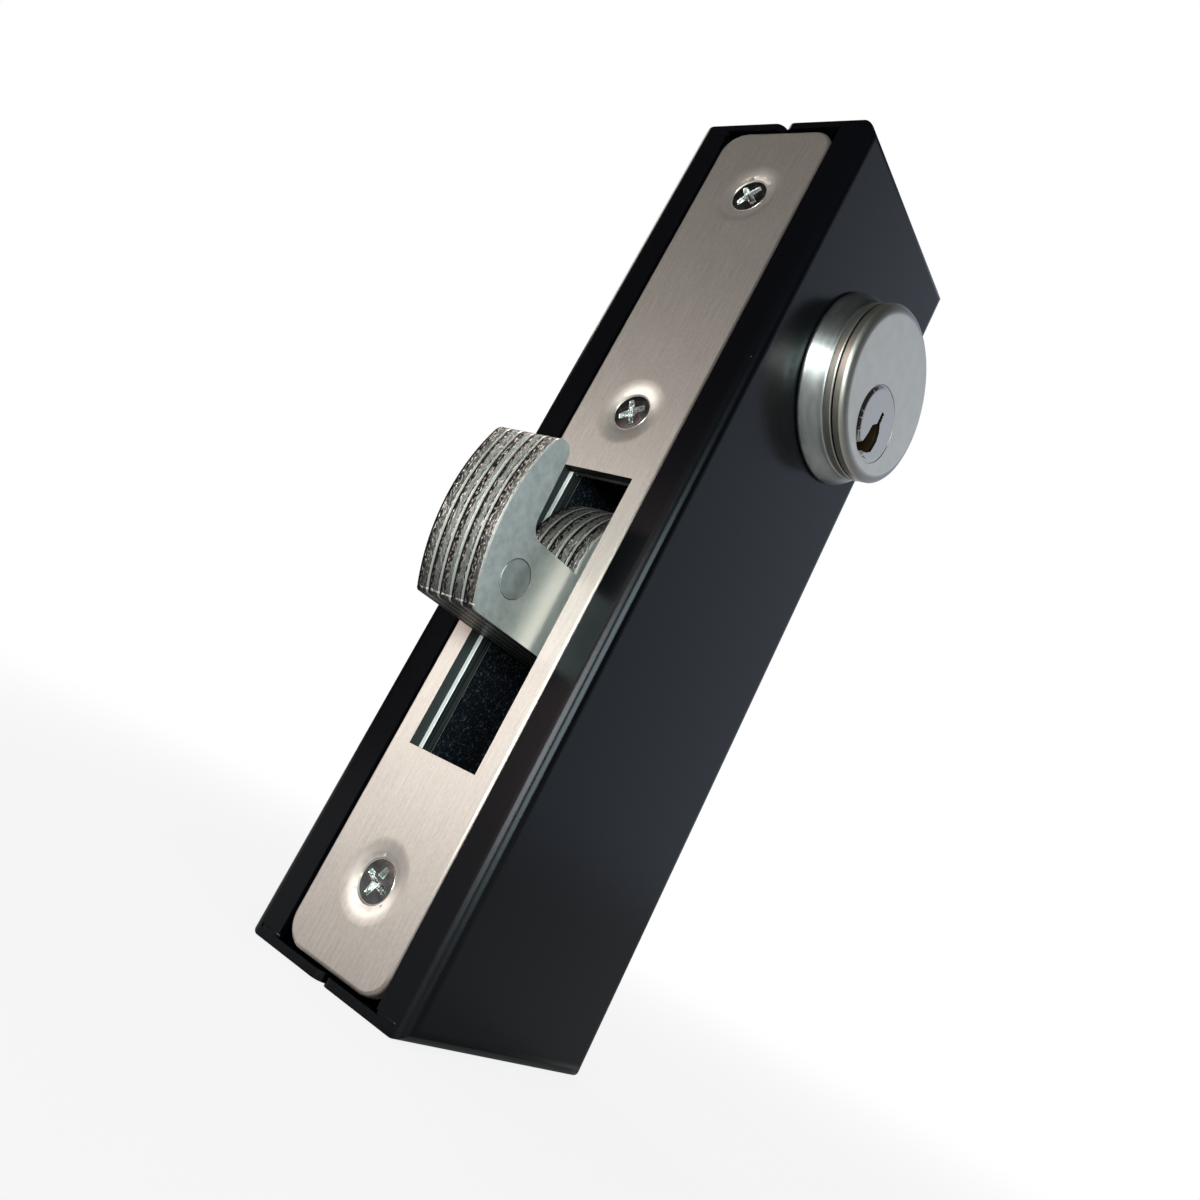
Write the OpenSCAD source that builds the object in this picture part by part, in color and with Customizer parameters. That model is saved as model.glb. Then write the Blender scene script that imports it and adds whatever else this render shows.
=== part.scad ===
// Hook lock: a folded steel lock box for a gate or sliding door, with a narrow
// laminated hook bolt and a mortise key cylinder.
// Frame: the origin is the centre of the bottom end. The faceplate looks along -Y,
// the key cylinder stands out along +X, and +Z points up. Sizes are in millimetres.
// At rest the hook is thrown. The hook, the drive slide and the key plug turn and
// slide together, and every slot between them follows from the same travel.

/* [Lock box] */
// Outside width of the box
box_w = 40.6; // [38.6:0.5:60.6]
// Depth of the box from its front lips to its back
box_d = 51; // [51:0.5:71]
// Height of the box
box_h = 178; // [176:0.5:190]
// Thickness of the folded sheet
sheet_t = 1.5; // [1.2:0.1:1.8]
// Outside radius of the box's upright bends
bend_r = 2.6; // [2.2:0.1:4]
// Outside radius of the bends between the sides and the end flaps
end_bend_r = 2.8; // [2.2:0.1:4.5]
// Gap at the seam between the two end flaps
seam_gap = 0.4; // [0.2:0.1:1]
// Radius of the flap corners at the seam
flap_corner_r = 2; // [1:0.1:4]
// Height of the relief notch between a lip and an end flap
relief_w = 0.6; // [0.4:0.1:3]

/* [Faceplate] */
// Width of the faceplate
plate_w = 25.4; // [24.5:0.1:28]
// Thickness of the faceplate
plate_t = 2.4; // [2.2:0.1:3.2]
// Radius of the faceplate's corners
plate_corner_r = 4.8; // [2:0.1:8]
// Gap between the faceplate and the box's end flaps
plate_gap = 0.5; // [0.2:0.1:0.8]
// Gap between the faceplate and the box's lips
plate_side_gap = 0.35; // [0.2:0.05:0.6]
// How far the faceplate lies behind the box's front
plate_set = 0.2; // [0:0.1:1]
// Width of the bolt slot in the faceplate
bolt_slot_w = 16.6; // [15.5:0.1:18]
// Bolt slot above the hook's pivot
bolt_slot_up = 17.3; // [16:0.1:20]
// Bolt slot below the hook's pivot
bolt_slot_down = 39.5; // [37.5:0.1:42]
// Upper faceplate screw below the faceplate's top end
upper_screw_in = 16; // [14:0.5:17]
// Place of the lower screw between the faceplate's end and the bolt slot, as a share
lower_screw_share = 0.41; // [0.35:0.01:0.5]
// Middle faceplate screw above the hook's pivot
mid_screw_up = 30.5; // [27:0.5:34]

/* [Screws] */
// Radius of the faceplate screws' shanks
screw_r = 2; // [1.6:0.1:2.4]
// Radius of the faceplate screws' heads
screw_head_r = 3.8; // [3.4:0.1:4.2]
// Length of the faceplate screws
screw_len = 11; // [9:0.5:13]
// Radius of the pressed dimple round a screw
dimple_r = 5.8; // [5:0.1:7]
// Depth of the pressed dimple
dimple_depth = 0.45; // [0.2:0.05:0.6]

/* [Lock case] */
// Width of the lock case
case_w = 25.4; // [25:0.1:27]
// Thickness of the case's sheet
case_t = 1.2; // [1:0.1:1.5]
// Inside radius of the case's folded edges
case_bend_r = 1; // [0.6:0.1:1.2]
// Gap between the case and the back of the box
case_back_gap = 0.3; // [0.2:0.1:1]
// Thickness of the guide plates beside the hook
guide_plate_t = 1.2; // [1:0.1:1.4]
// Gap between the hook and the guide plates
hook_side_gap = 0.4; // [0.3:0.05:0.6]
// Depth of the relief in the guide plates' inner faces
guide_relief = 0.3; // [0.1:0.05:0.5]
// Gap between the case and each screw tab
case_end_gap = 0.3; // [0.2:0.1:1]
// Thickness of the screw tabs
tab_t = 3; // [2:0.1:4]
// Height of the screw tabs
tab_h = 12; // [10:0.5:13]
// Radius of the posts that carry the cover screws
post_r = 2.3; // [2:0.1:2.8]
// Radius of the cover screws' shanks
cover_screw_r = 1.25; // [1:0.05:1.5]

/* [Hook bolt] */
// Depth of the hook's pivot behind the faceplate's front
pivot_in = 15.2; // [15:0.1:17]
// Radius of the pivot pin
pivot_r = 3.5; // [3:0.1:4]
// Radius of the hook's outer edge about the pivot
hook_r = 36.5; // [35.5:0.1:37]
// Number of plates riveted into the hook
ply_count = 5;
// Thickness of one hook plate
ply_t = 2.8; // [2.4:0.05:2.8]
// Radius of the hook's front lobe about the pivot
lobe_r = 15.1; // [14.6:0.1:15.2]
// Radius of the hook's rear lobe about the pivot
rear_lobe_r = 18.5; // [18:0.1:19.5]
// Throat floor below the pivot
throat_drop = 2.3; // [1.5:0.1:3]
// Bottom edge of the hook below the pivot
heel_drop = 17.65; // [16.5:0.05:18]
// Distance from the pivot to the inner face of the beak
beak_in = 29.3; // [28:0.1:30]
// Height of the centre of the beak's round tip above the pivot
tip_up = 11.3; // [9:0.1:12]
// Radius of the beak's round tip
tip_r = 2.3; // [1.8:0.1:2.6]
// Radius of the corner at the beak's heel
heel_r = 0.8; // [0.4:0.1:2]
// Radius of the throat's corner
throat_r = 3; // [1.5:0.1:4]
// Radius of the hook's rivets
rivet_r = 3.45; // [2.5:0.05:3.6]
// Front rivet in front of the pivot
rivet_fwd = 27.2; // [26:0.1:28]
// Front rivet below the pivot
rivet_drop = 9.7; // [9:0.1:11]
// Distance from the pivot to the rear rivet
rear_rivet = 9.8; // [9.4:0.1:10]

/* [Drive] */
// Angle the hook turns from thrown to retracted
hook_turn = 90; // [88:1:92]
// Angle the key plug turns while the hook is driven
plug_turn = 84; // [80:1:88]
// Travel of the drive slide
slide_travel = 18.7; // [18:0.1:19]
// Depth of the drive stud behind the pivot
stud_back = 10; // [9.5:0.1:10.3]
// Radius of the drive stud
stud_r = 2; // [1.6:0.1:2.2]
// Gap between the drive slide and the guide plate
slide_gap = 0.3; // [0.2:0.05:0.4]
// Gap between the drive slide and the case wall
slide_standoff = 0.6; // [0.5:0.05:0.8]
// Radius of the guide studs' necks
guide_r = 2; // [1.5:0.1:2.4]
// Thickness of the guide studs' heads
guide_head_t = 0.6; // [0.4:0.05:0.8]
// Width of metal round the cam's nose
cam_rim = 0.6; // [0.4:0.1:1]
// Distance from the plug's axis to the cam's nose
cam_reach = 14; // [13.5:0.1:14.5]
// Radius of the cam's nose
nose_r = 2.3; // [2:0.1:2.6]
// Radius of the cam's hub
cam_hub_r = 6; // [5.5:0.1:7]
// Thickness of the cam
cam_t = 2.2; // [1.8:0.1:2.3]
// Thickness of the friction spring
spring_t = 0.6; // [0.4:0.1:0.8]

/* [Key cylinder] */
// Distance from the top of the box down to the cylinder's axis
cyl_below = 39.7; // [39.5:0.1:41]
// Height of the cylinder's axis above the hook's pivot
cyl_rise = 60.1; // [59:0.1:61]
// Distance from the back of the box to the cylinder's axis
cyl_back = 20; // [19:0.1:20.5]
// Radius of the cylinder's body
cyl_r = 14.6; // [14:0.1:14.7]
// Length of the cylinder's body behind its head
cyl_len = 31.75; // [30.5:0.05:32]
// Radius of the cylinder's head
head_r = 17.4; // [16.5:0.1:18]
// Height of the cylinder's head
head_h = 2.6; // [2:0.1:3.5]
// Radius of the flat on the head's face
face_r = 15.2; // [14:0.1:16]
// Radius of the collar's base
collar_r = 19.05; // [18.2:0.05:20]
// Height of the collar
collar_h = 4.8; // [4:0.1:6]
// Height of the spacer ring between the collar and the head
ring_h = 1.9; // [1.5:0.1:3]
// Distance from the cylinder's axis down to the plug's axis
plug_drop = 6.7; // [6.3:0.1:7]
// Radius of the plug's body
plug_r = 6.35; // [6:0.05:6.5]
// Radius of the plug's front rim
plug_rim_r = 7.6; // [7.2:0.1:7.8]
// Radius of the flat on the plug's front
plug_face_r = 6.5; // [6.2:0.1:7]
// How far the plug's front stands out of the head
plug_proud = 0.55; // [0.2:0.05:1]
// Number of pin chambers
pin_count = 5;
// Distance between pin chambers
pin_pitch = 3.96; // [3.8:0.02:4]
// Radius of a pin chamber
chamber_r = 1.5; // [1.4:0.05:1.6]
// Length of a driver pin
driver_len = 5.4; // [4.5:0.1:6]
// Height of the tapered tips of the driver pins
driver_tip = 0.3; // [0.1:0.05:0.5]
// Height of the tapered tips of the key pins
key_pin_tip = 0.9; // [0.5:0.05:1.2]
// Height of the key pins' tips above the plug's axis
key_pin_low = 1.6; // [1.2:0.1:2]
// Thickness of the springs' coils
coil_t = 0.4; // [0.3:0.05:0.5]
// Radius of the cam screws' shanks
cam_screw_r = 0.9; // [0.8:0.05:1]
// Depth of the cam screws in the plug
cam_screw_deep = 4; // [3:0.5:4.5]
// Height of the cam screws' sunk heads
cam_screw_head = 0.9; // [0.6:0.1:1.2]

/* [Fits] */
// Radial clearance of a turning fit
run_fit = 0.05; // [0.02:0.01:0.08]
// Radial clearance of a fixed fit
seat_fit = 0.02; // [0.01:0.01:0.05]
// Sideways clearance of a pin in a slot
slot_fit = 0.1; // [0.05:0.05:0.2]

/* [Hidden] */
$fn = 64;
eps = 0.01;
far = 200;

// Main planes of the box and faceplate
front = -box_d / 2;
back = box_d / 2;
plate_y = front + plate_set;
plate_back = plate_y + plate_t;
plate_len = box_h - 2 * (sheet_t + plate_gap);
plate_z0 = sheet_t + plate_gap;
opening_w = plate_w + 2 * plate_side_gap;
lip_x = box_w / 2 - sheet_t;
cyl_z = box_h - cyl_below;
pivot_z = cyl_z - cyl_rise;
upper_screw_z = plate_z0 + plate_len - upper_screw_in;
mid_screw_z = pivot_z + mid_screw_up;
bolt_slot_z0 = pivot_z - bolt_slot_down;
bolt_slot_z1 = pivot_z + bolt_slot_up;
lower_screw_z = plate_z0 + (bolt_slot_z0 - plate_z0) * lower_screw_share;

// Screw tabs: each reaches a little past its screw towards the case
tab_reach = screw_r * 2;
upper_tab_z0 = upper_screw_z - tab_reach;
lower_tab_z1 = lower_screw_z + tab_reach;
ear_t = 2;
ear_d = 9;

// Case: from the faceplate's back to the box's back, between the tabs
case_y0 = plate_back;
case_y1 = back - sheet_t - case_back_gap;
case_z0 = lower_tab_z1 + case_end_gap;
case_z1 = upper_tab_z0 - case_end_gap;
case_x0 = -case_w / 2;
cover_x = case_w / 2 - case_t;
wall_x = case_x0 + case_t;
post_inset = case_t + post_r - 0.5;
post_yz = [for (y = [case_y0 + post_inset, case_y1 - post_inset],
                z = [case_z0 + post_inset, case_z1 - post_inset]) [y, z]];
post_deep = 7;
lug_w = 9;
lug_d = 5;
set_screw_r = 2.4;
set_screw_x = cover_x - 4;

// Hook bolt
pivot_y = plate_y + pivot_in;
hook_w = ply_count * ply_t;
hook_x0 = -hook_w / 2;
spacer_r = pivot_r + 0.7;
cam_gap = 0.1;
slot_end = 0.6;

// Cylinder, from the box's side outwards
cyl_y = back - cyl_back;
plug_z = cyl_z - plug_drop;
side_x = box_w / 2;
ring_x = side_x + collar_h;
head_x = ring_x + ring_h;
face_x = head_x + head_h;
rear_x = head_x - cyl_len;
rim_depth = 1.4;
cap_w = 3.8;
cap_drop = 1.6;
first_pin_x = side_x + 1.1;
boss_t = 3;
collar_bore_r = cyl_r + hook_side_gap;

// Drive train. The slide's middle position puts the stud level with the pivot and
// the cam's nose level with the plug's axis; at rest it lies half its travel lower.
guide_x0 = hook_w / 2 + hook_side_gap;
guide_x1 = guide_x0 + guide_plate_t;
slide_x0 = wall_x + slide_standoff;
slide_x1 = -guide_x1 - slide_gap;
half_travel = slide_travel / 2;
half_hook = hook_turn / 2;
half_plug = plug_turn / 2;
stud_y = pivot_y + stud_back;
stud_z = pivot_z - half_travel;
cam_x1 = rear_x - cam_gap;
cam_x0 = cam_x1 - cam_t;
notch_z = plug_z - half_travel;
slide_edge = 3.4;
slot_wall = 3;
cam_screw_y = plug_r * 0.61;
cam_screw_z = plug_r * 0.38;

// Stud's way in the hook's slot: how far it strays from the slot's straight line
steps = [-8 : 8];
function stud_up(s) = half_travel * s / 8;
function stud_reach(s) = sqrt(pow(stud_back, 2) + pow(stud_up(s), 2));
function stud_stray(s) = abs(stud_reach(s) * sin(atan(stud_up(s) / stud_back) - half_hook * s / 8));
hook_slot_half = stud_r + slot_fit + max([for (s = steps) stud_stray(s)]);
hook_slot_in = min([for (s = steps) stud_reach(s)]) - stud_r - slot_end;
hook_slot_out = max([for (s = steps) stud_reach(s)]) + stud_r + slot_end;

// Nose's way in the slide's notch: how far it strays from the slide's own travel
function nose_stray(s) = abs(cam_reach * sin(half_plug * s / 8) - half_travel * s / 8);
notch_half = nose_r + slot_fit + max([for (s = steps) nose_stray(s)]);
notch_y0 = cyl_y - cam_reach - nose_r - slot_end;
notch_y1 = cyl_y - cam_reach * cos(half_plug) + nose_r + slot_end;

// Guide plates: level with the slot, with their front edges against the faceplate
guide_low = bolt_slot_z0 - guide_plate_t - slot_fit;
guide_high = bolt_slot_z1 + guide_plate_t + slot_fit;
guide_back = stud_y - stud_r - 1.7;
guide_foot = stud_z - half_travel / 2 - stud_r;
relief_y = plate_back + 2.6;

// Guide slots of the slide, with the guide studs at their top ends at rest
guide_half = guide_r + slot_fit;
guide_y1 = stud_y;
guide_z1 = stud_z + stud_r + slot_wall + guide_half + slide_travel + slot_end;
guide_y0 = min(notch_y0 + guide_half, guide_y1 - 2 * guide_half - slot_wall);
guide_z0 = notch_z - notch_half - slot_wall - guide_half;
guide_yz = [[guide_y0, guide_z0], [guide_y1, guide_z1]];
slide_rear = stud_y + guide_half + slide_edge;
slide_step = stud_y - guide_half - slide_edge;
slide_front = guide_y0 - guide_half - slide_edge;
slide_z0 = stud_z - stud_r - slide_edge;
slide_mid = guide_z0 - slide_travel - slot_end - guide_half - slot_wall;
slide_top = notch_z + notch_half + slot_wall * 2;
slide_neck = notch_y1 + slot_wall;

// Friction spring: a flat bow between the case's front wall and the slide's edge
spring_gap = 0.3;
spring_seat = case_y0 + case_t;
spring_rise = slide_front - spring_gap - spring_seat;
spring_half = 19;
spring_bow_r = (pow(spring_half, 2) + pow(spring_rise, 2)) / (2 * spring_rise);
spring_z = (slide_mid + slide_travel + slide_top) / 2;
spring_foot = 5;
spring_x0 = wall_x + case_bend_r + slot_fit;
spring_x1 = slide_x1 + 1.3;
spring_rivet_x = (spring_x0 + spring_x1) / 2;
spring_rivet_r = (spring_x1 - spring_x0) / 4;
spring_rivet_z = spring_z + spring_half + spring_foot / 2;

// Cylinder along X between two planes
module x_cyl(r, x0, x1, y, z) {
    translate([x0, y, z]) rotate([0, 90, 0]) cylinder(r = r, h = x1 - x0);
}

// Cone or cylinder along Y from one plane to the next
module y_cone(r0, r1, y0, y1, x, z) {
    translate([x, y0, z]) rotate([-90, 0, 0]) cylinder(r1 = r0, r2 = r1, h = y1 - y0);
}

// A shape drawn in depth and height, made thick along X
module side_plate(x0, x1) {
    translate([x0, 0, 0]) rotate([90, 0, 90]) linear_extrude(x1 - x0) children();
}

// A shape drawn in width and height, made thick along Y
module front_plate(y0, y1) {
    translate([0, y1, 0]) rotate([90, 0, 0]) linear_extrude(y1 - y0) children();
}

// A box between two corners
module block(low, high) {
    translate(low) cube(high - low);
}

// Rectangle with round corners, centred
module round_rect(w, h, r) {
    square([w - 2 * r, h], center = true);
    square([w, h - 2 * r], center = true);
    for (sx = [-1, 1], sy = [-1, 1])
        translate([sx * (w / 2 - r), sy * (h / 2 - r)]) circle(r);
}

// Straight slot with round ends between two points on a vertical line
module tall_slot(y, z0, z1, half) {
    translate([y - half, z0]) square([2 * half, z1 - z0]);
    translate([y, z0]) circle(half);
    translate([y, z1]) circle(half);
}

// Block with round upright edges and round end edges
module folded_block(w, d, h, r, end_r) {
    intersection() {
        translate([0, 0, -h / 2]) linear_extrude(h) round_rect(w, d, r);
        front_plate(-d / 2, d / 2) round_rect(w, h, end_r);
    }
}

// Folded box: back, two sides with front lips, and end flaps that meet at a seam
module lock_box() {
    color("#1b1c20")
    difference() {
        translate([0, 0, box_h / 2]) difference() {
            folded_block(box_w, box_d, box_h, bend_r, end_bend_r);
            folded_block(box_w - 2 * sheet_t, box_d - 2 * sheet_t, box_h - 2 * sheet_t,
                         bend_r - sheet_t, end_bend_r - sheet_t);
        }
        block([-opening_w / 2, front - 1, sheet_t + relief_w / 2],
              [opening_w / 2, front + sheet_t + eps, box_h - sheet_t - relief_w / 2]);
        for (z = [sheet_t + relief_w / 2, box_h - sheet_t - relief_w / 2])
            translate([0, 0, z]) front_plate(front - 1, front + sheet_t + eps)
                round_rect(box_w - 2 * bend_r, relief_w, relief_w / 2 - eps);
        block([-seam_gap / 2, front - 1, -1], [seam_gap / 2, back - sheet_t, box_h + 1]);
        for (z0 = [-1, box_h - sheet_t - eps], side = [-1, 1])
            translate([side * seam_gap / 2, front, z0]) linear_extrude(sheet_t + 1 + eps)
                flap_corner(side);
        x_cyl(collar_bore_r, 0, side_x + 1, cyl_y, cyl_z);
    }
}

// What is cut off a flap's corner beside the seam
module flap_corner(side) {
    difference() {
        translate([side < 0 ? -flap_corner_r : -eps, -eps])
            square([flap_corner_r + eps, flap_corner_r + eps]);
        translate([side * flap_corner_r, flap_corner_r]) circle(flap_corner_r);
    }
}

// Bent tab welded across the box, tapped for a faceplate screw
module screw_tab(z0, screw_z) {
    color("#26272b")
    difference() {
        translate([0, plate_back + ear_d, z0]) linear_extrude(tab_h)
            round_rect(2 * lip_x, 2 * ear_d, bend_r);
        block([-lip_x - 1, plate_back + ear_d, z0 - 1], [lip_x + 1, back, z0 + tab_h + 1]);
        block([-lip_x + ear_t, plate_back + tab_t, z0 - 1],
              [lip_x - ear_t, back, z0 + tab_h + 1]);
        y_cone(screw_r + seat_fit, screw_r + seat_fit, front, 0, 0, screw_z);
    }
}

module upper_tab() {
    screw_tab(upper_tab_z0, upper_screw_z);
}

module lower_tab() {
    screw_tab(lower_tab_z1 - tab_h, lower_screw_z);
}

// Depth of the cone under a faceplate screw's head
head_cone = screw_head_r - screw_r;

// Dimple, countersink and hole for one faceplate screw
module screw_seat(z) {
    y_cone(dimple_r + eps, screw_head_r + slot_fit, plate_y - eps, plate_y + dimple_depth, 0, z);
    y_cone(screw_head_r + slot_fit, screw_r + slot_fit, plate_y + dimple_depth - eps,
           plate_y + dimple_depth + head_cone, 0, z);
    y_cone(screw_r + slot_fit, screw_r + slot_fit, plate_y, plate_back + 1, 0, z);
}

// Brushed faceplate with the bolt slot and three dimpled screw holes
module faceplate() {
    color("#a39b95")
    difference() {
        translate([0, 0, plate_z0 + plate_len / 2]) front_plate(plate_y, plate_back)
            round_rect(plate_w, plate_len, plate_corner_r);
        block([-bolt_slot_w / 2, plate_y - 1, bolt_slot_z0],
              [bolt_slot_w / 2, plate_back + 1, bolt_slot_z1]);
        for (z = [lower_screw_z, mid_screw_z, upper_screw_z]) screw_seat(z);
    }
}

// Countersunk screw with a cross recess
module cross_screw(z) {
    top = plate_y + dimple_depth;
    arm = screw_head_r * 0.58;
    slit = screw_head_r * 0.13;
    deep = screw_head_r * 0.4;
    difference() {
        union() {
            y_cone(screw_head_r, screw_r, top, top + head_cone, 0, z);
            y_cone(screw_r, screw_r, top + head_cone - eps, top + screw_len, 0, z);
        }
        block([-arm, top - 1, z - slit], [arm, top + deep, z + slit]);
        block([-slit, top - 1, z - arm], [slit, top + deep, z + arm]);
    }
}

module faceplate_screws() {
    color("#8d9092")
    for (z = [lower_screw_z, mid_screw_z, upper_screw_z]) cross_screw(z);
}

// Tray open to the right, with round folds along its left edges
module folded_tray(x0, x1, d, h, r) {
    intersection() {
        translate([0, 0, -h / 2]) linear_extrude(h) tray_outline(x0, x1, d, r);
        front_plate(-d / 2, d / 2) tray_outline(x0, x1, h, r);
    }
}

// Rectangle from x0 to x1 with round corners on the left
module tray_outline(x0, x1, d, r) {
    translate([x0 + r, -d / 2]) square([x1 - x0 - r, d]);
    translate([x0, -d / 2 + r]) square([r + eps, d - 2 * r]);
    for (s = [-1, 1]) translate([x0 + r, s * (d / 2 - r)]) circle(r);
}

// Pressed case, open on the right, with posts for the cover and tapped lugs
module lock_case() {
    depth = case_y1 - case_y0;
    height = case_z1 - case_z0;
    inner = case_y0 + case_t;
    color("#7b7d7c")
    difference() {
        union() {
            translate([0, (case_y0 + case_y1) / 2, (case_z0 + case_z1) / 2]) difference() {
                folded_tray(case_x0, cover_x, depth, height, case_bend_r + case_t);
                folded_tray(wall_x, cover_x + 1, depth - 2 * case_t, height - 2 * case_t, case_bend_r);
            }
            for (p = post_yz) x_cyl(post_r, wall_x - eps, cover_x, p[0], p[1]);
            block([-lug_w / 2, inner - eps, mid_screw_z - lug_w / 2],
                  [lug_w / 2, inner + lug_d, mid_screw_z + lug_w / 2]);
            block([set_screw_x - lug_w / 2, inner - eps, cyl_z - lug_w / 2],
                  [cover_x, inner + lug_d, cyl_z + lug_w / 2]);
        }
        block([-guide_x1 - slot_fit, case_y0 - 1, bolt_slot_z0],
              [guide_x1 + slot_fit, inner + eps, bolt_slot_z1]);
        for (p = post_yz) x_cyl(cover_screw_r + seat_fit, cover_x - post_deep, cover_x + 1, p[0], p[1]);
        y_cone(screw_r + seat_fit, screw_r + seat_fit, front, inner + lug_d + 1, 0, mid_screw_z);
        y_cone(set_screw_r + seat_fit, set_screw_r + seat_fit, front, inner + lug_d + 1,
               set_screw_x, cyl_z);
        x_cyl(pivot_r - 1, case_x0 - 1, wall_x + eps, pivot_y, pivot_z);
        for (p = guide_yz) x_cyl(guide_r, case_x0 - 1, wall_x + eps, p[0], p[1]);
    }
}

// Cover of the case, with the threaded boss that holds the cylinder
module case_cover() {
    color("#8a8c8b")
    difference() {
        union() {
            block([cover_x, case_y0, case_z0], [case_w / 2, case_y1, case_z1]);
            intersection() {
                x_cyl(cyl_r + 1.3, cover_x - boss_t, cover_x + eps, cyl_y, cyl_z);
                block([cover_x - boss_t, case_y0 + case_t + lug_d + slot_fit, case_z0],
                      [cover_x + 1, case_y1 - case_t - slot_fit, case_z1 - case_t - slot_fit]);
            }
        }
        y_cone(set_screw_r + slot_fit, set_screw_r + slot_fit, case_y0 + case_t, cyl_y, set_screw_x, cyl_z);
        x_cyl(cyl_r + seat_fit, cover_x - boss_t - 1, case_w / 2 + 1, cyl_y, cyl_z);
        x_cyl(pivot_r - 1, cover_x - eps, case_w / 2 + 1, pivot_y, pivot_z);
        for (p = post_yz) x_cyl(cover_screw_r + slot_fit, cover_x - eps, case_w / 2 + 1, p[0], p[1]);
    }
}

// Pan-head screws that hold the cover on its posts
module cover_screws() {
    color("#9b9e9f")
    for (p = post_yz) difference() {
        union() {
            x_cyl(cover_screw_r, cover_x - post_deep + 1, case_w / 2, p[0], p[1]);
            x_cyl(cover_screw_r * 1.7, case_w / 2, case_w / 2 + 1.2, p[0], p[1]);
        }
        block([case_w / 2 + 0.6, p[0] - 0.3, p[1] - 3], [case_w / 2 + 2, p[0] + 0.3, p[1] + 3]);
    }
}

// Outline of a guide plate: its front edge stands in the case's slot
module guide_outline() {
    translate([case_y0, bolt_slot_z0 + slot_fit])
        square([case_t + eps, bolt_slot_down + bolt_slot_up - 2 * slot_fit]);
    translate([spring_seat, guide_low]) square([guide_back - spring_seat, guide_high - guide_low]);
    translate([spring_seat, guide_low])
        square([stud_y + stud_back / 2 - spring_seat, guide_foot - guide_low]);
}

// Folded channel that guides the hook: two plates joined under the bolt slot
module bolt_guides() {
    color("#5c5f62")
    difference() {
        union() {
            for (x = [-guide_x1, guide_x0]) side_plate(x, x + guide_plate_t) guide_outline();
            block([-guide_x1 + eps, case_y0 + case_t, guide_low],
                  [guide_x1 - eps, guide_back, guide_low + guide_plate_t]);
        }
        block([-guide_x0 - guide_relief, relief_y, guide_low + guide_plate_t],
              [guide_x0 + guide_relief, back, guide_high + 1]);
        x_cyl(pivot_r + seat_fit, -guide_x1 - 1, guide_x1 + 1, pivot_y, pivot_z);
    }
}

// Stepped pivot pin, riveted into the case wall and the cover
module pivot_pin() {
    color("#a9abaa")
    union() {
        x_cyl(pivot_r, wall_x, cover_x, pivot_y, pivot_z);
        x_cyl(pivot_r - 1 - seat_fit, case_x0 - 0.6, case_w / 2 + 0.6, pivot_y, pivot_z);
    }
}

// Spacer tubes that keep the guide plates in the middle of the case
module pivot_spacers() {
    color("#b08d4f")
    for (x = [[wall_x, -guide_x1], [guide_x1, cover_x]])
        difference() {
            x_cyl(spacer_r, x[0], x[1], pivot_y, pivot_z);
            x_cyl(pivot_r + seat_fit, x[0] - 1, x[1] + 1, pivot_y, pivot_z);
        }
}

// Shouldered studs that guide the drive slide along the case wall
module guide_studs() {
    color("#a9abaa")
    for (p = guide_yz) union() {
        x_cyl(guide_r - seat_fit, case_x0, wall_x + eps, p[0], p[1]);
        x_cyl(guide_r + 1.4, wall_x, slide_x0 - slot_fit, p[0], p[1]);
        x_cyl(guide_r, slide_x0 - slot_fit - eps, slide_x1 + slot_fit + eps, p[0], p[1]);
        x_cyl(guide_r + 1.2, slide_x1 + slot_fit, slide_x1 + slot_fit + guide_head_t, p[0], p[1]);
    }
}

// Bowed flat spring that holds the slide by friction where it is left
module friction_spring() {
    bow_y = spring_seat + spring_rise - spring_bow_r;
    color("#6f7478")
    difference() {
        side_plate(spring_x0, spring_x1) union() {
            intersection() {
                translate([bow_y, spring_z]) difference() {
                    circle(spring_bow_r, $fn = 180);
                    circle(spring_bow_r - spring_t, $fn = 180);
                }
                translate([spring_seat, spring_z - spring_half]) square([spring_rise + 1, 2 * spring_half]);
            }
            translate([spring_seat, spring_z + spring_half - spring_t]) square([spring_t, spring_foot]);
        }
        y_cone(spring_rivet_r + seat_fit, spring_rivet_r + seat_fit, spring_seat - 1,
               spring_seat + spring_rise, spring_rivet_x, spring_rivet_z);
    }
}

// Small rivet that holds the spring's foot on the case's front wall
module spring_rivet() {
    head = spring_seat + spring_t;
    color("#a9abaa")
    union() {
        y_cone(spring_rivet_r, spring_rivet_r, spring_seat, head + eps, spring_rivet_x, spring_rivet_z);
        y_cone(spring_rivet_r * 1.5, spring_rivet_r, head, head + spring_t, spring_rivet_x, spring_rivet_z);
    }
}

// A ring turned about the cylinder's axis, from points of radius and X
module turned(points) {
    translate([0, cyl_y, cyl_z]) rotate([0, 90, 0]) rotate_extrude($fn = 128) polygon(points);
}

// Tapered collar with a broad base, seated on the side of the box
module cylinder_collar() {
    edge = 0.3;
    land = 0.9;
    lip = 0.25;
    color("#c4c7c9")
    turned([[collar_bore_r, side_x], [collar_r - edge, side_x], [collar_r, side_x + edge],
            [collar_r, side_x + land], [head_r + 0.25, ring_x - 1.2], [head_r + 0.05, ring_x - lip],
            [head_r - lip, ring_x], [collar_bore_r, ring_x]]);
}

// Plain ring that takes up the space between the collar and the head
module spacer_ring() {
    lip = 0.3;
    color("#b4b8b9")
    turned([[collar_bore_r, ring_x], [head_r - lip, ring_x], [head_r, ring_x + lip],
            [head_r, head_x - lip], [head_r - lip, head_x], [collar_bore_r, head_x]]);
}

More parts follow.
